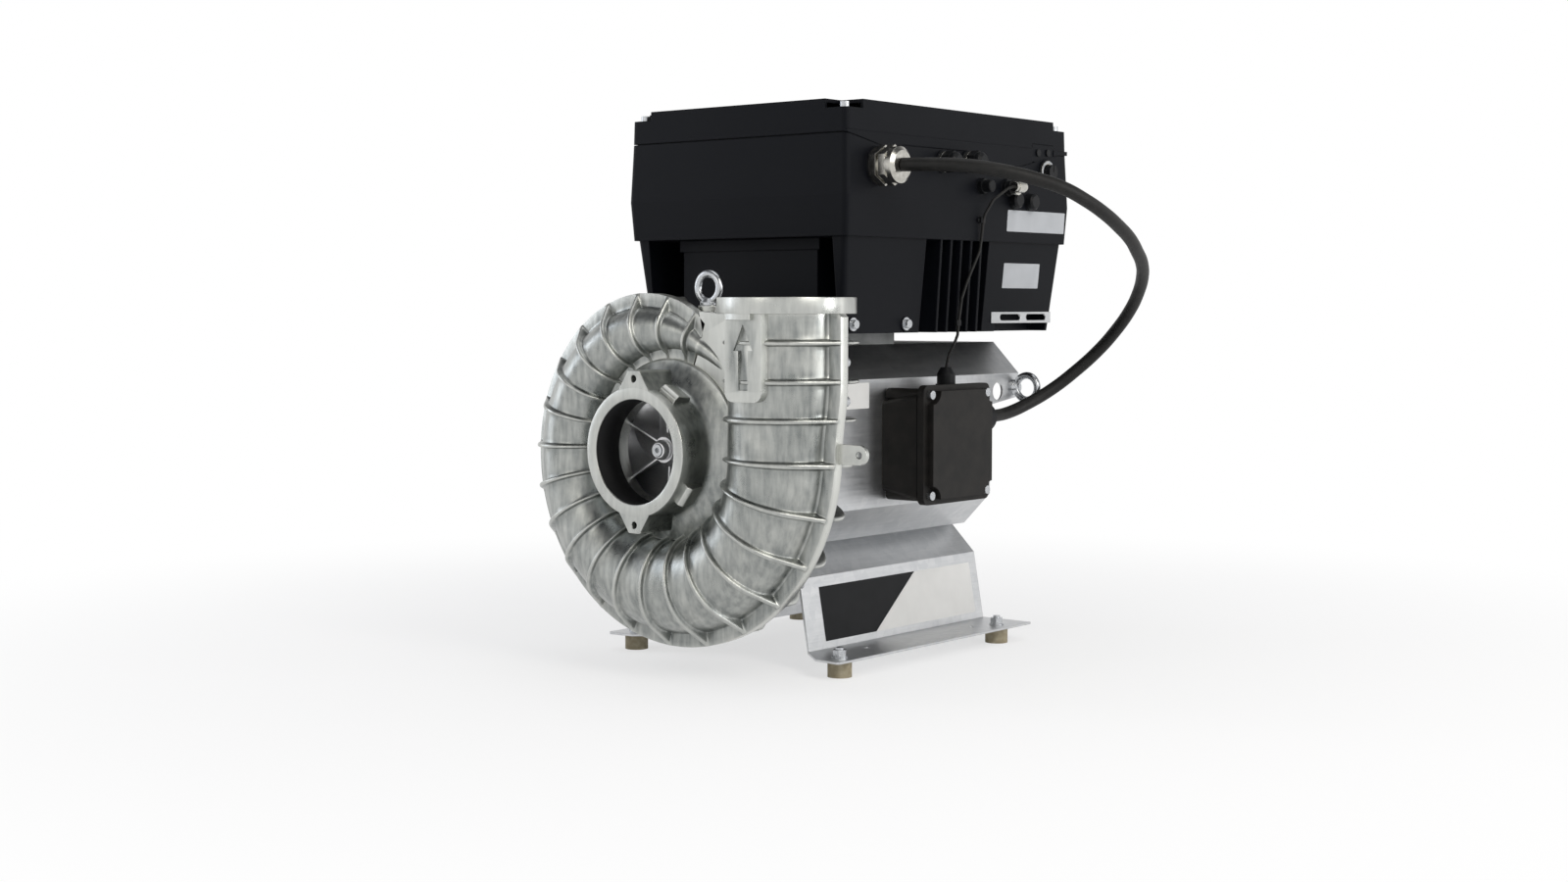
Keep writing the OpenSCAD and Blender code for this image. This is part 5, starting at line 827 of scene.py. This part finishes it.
wheel = [(HUB_BORE_R, hub_v(HUB_FRONT_R))]
for i in range(33):
    r = HUB_FRONT_R + (WHEEL_R - HUB_FRONT_R) * i / 32
    wheel.append((r, hub_v(r)))
wheel += [(WHEEL_R, WHEEL_BACK - 0.4), (WHEEL_R - 0.4, WHEEL_BACK), (HUB_BORE_R, WHEEL_BACK)]
shapes = [turned(wheel, to_y(SPLIT_Y), 96)]
ALONG, ACROSS = 26, 8
for blade in range(BLADES):
    points = []
    for side in (-1, 1):
        for i in range(ALONG + 1):
            s = i / ALONG
            thick = BLADE_T * min(1.0, 0.45 + 2.2 * s) * min(1.0, 0.5 + 4 * (1 - s))
            for j in range(ACROSS + 1):
                r, v, angle = blade_point(s, j / ACROSS, side, thick)
                turn = math.radians(angle - blade * 360 / BLADES)
                points.append((-r * math.sin(turn), SPLIT_Y + v, SHAFT_H + r * math.cos(turn)))
    width, base = ACROSS + 1, (ALONG + 1) * (ACROSS + 1)
    faces = []
    for i in range(ALONG):
        for j in range(ACROSS):
            a = i * width + j
            faces.append((a, a + 1, a + width + 1, a + width))
            faces.append((base + a, base + a + width, base + a + width + 1, base + a + 1))
    for i in range(ALONG):
        a, b = i * width, i * width + ACROSS
        faces += [(a, a + width, base + a + width, base + a), (b, base + b, base + b + width, b + width)]
    for j in range(ACROSS):
        b = ALONG * width + j
        faces += [(j, base + j, base + j + 1, j + 1), (b, b + 1, base + b + 1, base + b)]
    shapes.append((points, faces))
impeller = piece("impeller_wheel", *merged(*shapes), POLISHED, "polished_aluminium", body="rotor",
                 replaces=["impeller"])
sharpen(impeller, 40)
nose_y = SPLIT_Y + hub_v(HUB_FRONT_R)
nose = [(3.1, 4.5), (6.55, 4.5), (6.55, 0.4), (6.9, 0), (7.5, 0), (8.6, 0.9), (9.5, 2.4), (10.1, 4.6),
        (10.3, 6.4), (10.3, 9), (3.1, 9)]
piece("impeller_hub_cap", *turned(nose, to_y(nose_y - 9), 64), POLISHED, "polished_aluminium", body="rotor",
      replaces=["impeller_nose"])

# ---- Bare plates where the real one has labels ----
def slanted(low, high):
    """Frame on a +X wall that leans from (x, z) to (x, z): u along y, v up, h outward."""
    (x0, z0), (x1, z1) = low, high
    lean = (x1 - x0) / (z1 - z0)
    return lambda u, v, h: (x0 + lean * (v - z0) + h, u, v - lean * h)


UPPER_WALL, LOWER_WALL = ((147.0, 445.5), (149.6, 487.0)), ((133.0, 347.0), (143.0, 445.5))
SHROUD_WALL, BRACKET_WALL = ((105.0, 162.0), (105.0, 298.0)), ((97.05, 19.5), (83.8, 94.0))
PLATES = [
    ("plate_upper", UPPER_WALL, 148, 266, 457.5, 481, SILVER_FILM),
    ("plate_lower", LOWER_WALL, 154, 227, 395, 422.6, SILVER_FILM),
    ("plate_shroud", SHROUD_WALL, -87, -47, 267.7, 294.6, WHITE_FILM)]
PLATE_CORNER = 1.0
for name, wall, y0, y1, z0, z1, film in PLATES:
    c = PLATE_CORNER
    outline = arc(y0 + c, z0 + c, c, 180, 270, 4) + arc(y1 - c, z0 + c, c, 270, 360, 4)
    outline += arc(y1 - c, z1 - c, c, 0, 90, 4) + arc(y0 + c, z1 - c, c, 90, 180, 4)
    piece(name, *prism(outline, slanted(*wall), 0.02, 0.3), film, None, smooth=False)
dark_field = [(-107.5, 27), (-20.8, 27), (61.6, 83), (-107.5, 83)]
light_field = [(-20.2, 27), (168, 27), (168, 83), (62.2, 83)]
piece("bracket_film_dark", *prism(dark_field, slanted(*BRACKET_WALL), 0.02, 0.3), BLACK_FILM, None,
      smooth=False)
piece("bracket_film_light", *prism(light_field, slanted(*BRACKET_WALL), 0.02, 0.25), WHITE_FILM, None,
      smooth=False)

# ---- Bar of the upper lead clip and the pale ring round the knob ----
CLIP_AT, CLIP_HALF = (148.6, 95.0, 468.0), (2.2, 7.0, 1.8)
clip_side = [(CLIP_AT[1] + CLIP_HALF[1] * u, CLIP_AT[2] + CLIP_HALF[2] * v)
             for u, v in ((-1, -1), (1, -1), (1, 1), (-1, 1))]
clip = prism(clip_side, lambda u, v, h: (h, u, v), CLIP_AT[0] - CLIP_HALF[0], CLIP_AT[0] + CLIP_HALF[0])
rounded_edges(piece("clip_bar", *clip, PLASTIC, "black_plastic"), 0.6)
bezel_low, bezel_high = (Vector(c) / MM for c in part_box("knob_bezel"))
bezel_r = (bezel_high.z - bezel_low.z) / 2
bezel_y, bezel_z = (bezel_low.y + bezel_high.y) / 2, (bezel_low.z + bezel_high.z) / 2
ring_outline = [(bezel_r - 0.4, 0), (bezel_r - 0.4, 0.35), (bezel_r - 2.4, 0.35), (bezel_r - 2.4, 0)]
ring = turned(ring_outline, lambda u, v, l: (bezel_high.x + 0.01 + l, bezel_y + u, bezel_z + v), 64)
piece("knob_ring", *ring, SILVER_FILM, None, smooth=False)

# ---- Floor and light ----
def background_share(tree):
    """1 for the rays that show the background: those of the camera, of reflections and through glass."""
    rays = add(tree, "LightPath").outputs
    seen = add(tree, "Math", {0: rays["Is Camera Ray"], 1: rays["Is Glossy Ray"]}, operation="MAXIMUM")
    return add(tree, "Math", {0: seen, 1: rays["Is Transmission Ray"]}, operation="MAXIMUM")


FLOOR_HALF = 9.0
floor_mesh = bpy.data.meshes.new("floor")
floor_corners = [(x * FLOOR_HALF, y * FLOOR_HALF, 0) for x, y in ((-1, -1), (1, -1), (1, 1), (-1, 1))]
floor_mesh.from_pydata(floor_corners, [], [(0, 1, 2, 3)])
floor = bpy.data.objects.new("floor", floor_mesh)
scene.collection.objects.link(floor)
floor_paint, tree, shader, where = start("pale_studio_floor")
connect(tree, shader, {"Base Color": linear("#F4F4F4"), "Roughness": 0.9})
glow = add(tree, "Emission", {"Color": linear("#FFFFFF"), "Strength": 1.0})
distance = add(tree, "VectorMath", {0: where}, operation="LENGTH").outputs["Value"]
# the floor's own shading, with the shadow, stays near the object and goes over to white further out
far = add(tree, "MapRange", {"Value": distance, "From Min": 0.40, "From Max": 1.3, "To Min": 0.6,
                             "To Max": 1.0}, interpolation_type="SMOOTHSTEP")
share = add(tree, "Math", {0: background_share(tree), 1: far}, operation="MULTIPLY")
mixed = add(tree, "MixShader", {0: share, 1: shader, 2: glow})
connect(tree, tree.nodes["Material Output"], {"Surface": mixed})
floor_mesh.materials.append(floor_paint)

world = bpy.data.worlds.new("studio")
scene.world = world
world.use_nodes = True
tree = world.node_tree
height = add(tree, "SeparateXYZ", {0: add(tree, "TexCoord").outputs["Generated"]}).outputs["Z"]
level = add(tree, "MapRange", {"Value": height, "From Min": -1, "From Max": 1})
room = add(tree, "ValToRGB", {"Fac": level}, [(0.44, "#606164"), (0.56, "#77787B"), (0.72, "#B0B1B3"),
                                              (1.0, "#D6D6D8")])
backdrop = add(tree, "ValToRGB", {"Fac": level}, [(0.66, "#FFFFFF"), (0.84, "#6A6B6D")])
seen = add(tree, "MixRGB", {"Fac": background_share(tree), "Color1": room, "Color2": backdrop})
connect(tree, tree.nodes["Background"], {"Color": seen, "Strength": 1.0})


def lamp(name, place, aim, size, power, tint="#FFFFFF"):
    """A rectangular softbox that points at a place on the object."""
    data = bpy.data.lights.new(name, "AREA")
    data.shape = "RECTANGLE"
    data.size, data.size_y = size
    data.energy = power
    data.color = linear(tint)[:3]
    obj = bpy.data.objects.new(name, data)
    obj.location = place
    obj.rotation_euler = (Vector(aim) - Vector(place)).to_track_quat("-Z", "Y").to_euler()
    scene.collection.objects.link(obj)


lamp("key_softbox", (2.2, -0.6, 1.7), (0.05, -0.1, 0.3), (0.9, 1.3), 20, "#FFFBF4")
lamp("front_softbox", (-0.2, -2.8, 1.5), (0.0, -0.2, 0.25), (1.4, 0.8), 5, "#FFFBF2")
lamp("left_softbox", (-2.2, -1.2, 1.0), (0.0, -0.2, 0.25), (0.6, 1.6), 8, "#EEF4FF")
lamp("low_right_softbox", (2.3, 0.7, 0.55), (0.1, 0.0, 0.15), (0.5, 0.9), 9)
lamp("top_softbox", (0.1, 0.1, 2.4), (0.0, 0.0, 0.3), (1.8, 1.8), 12)
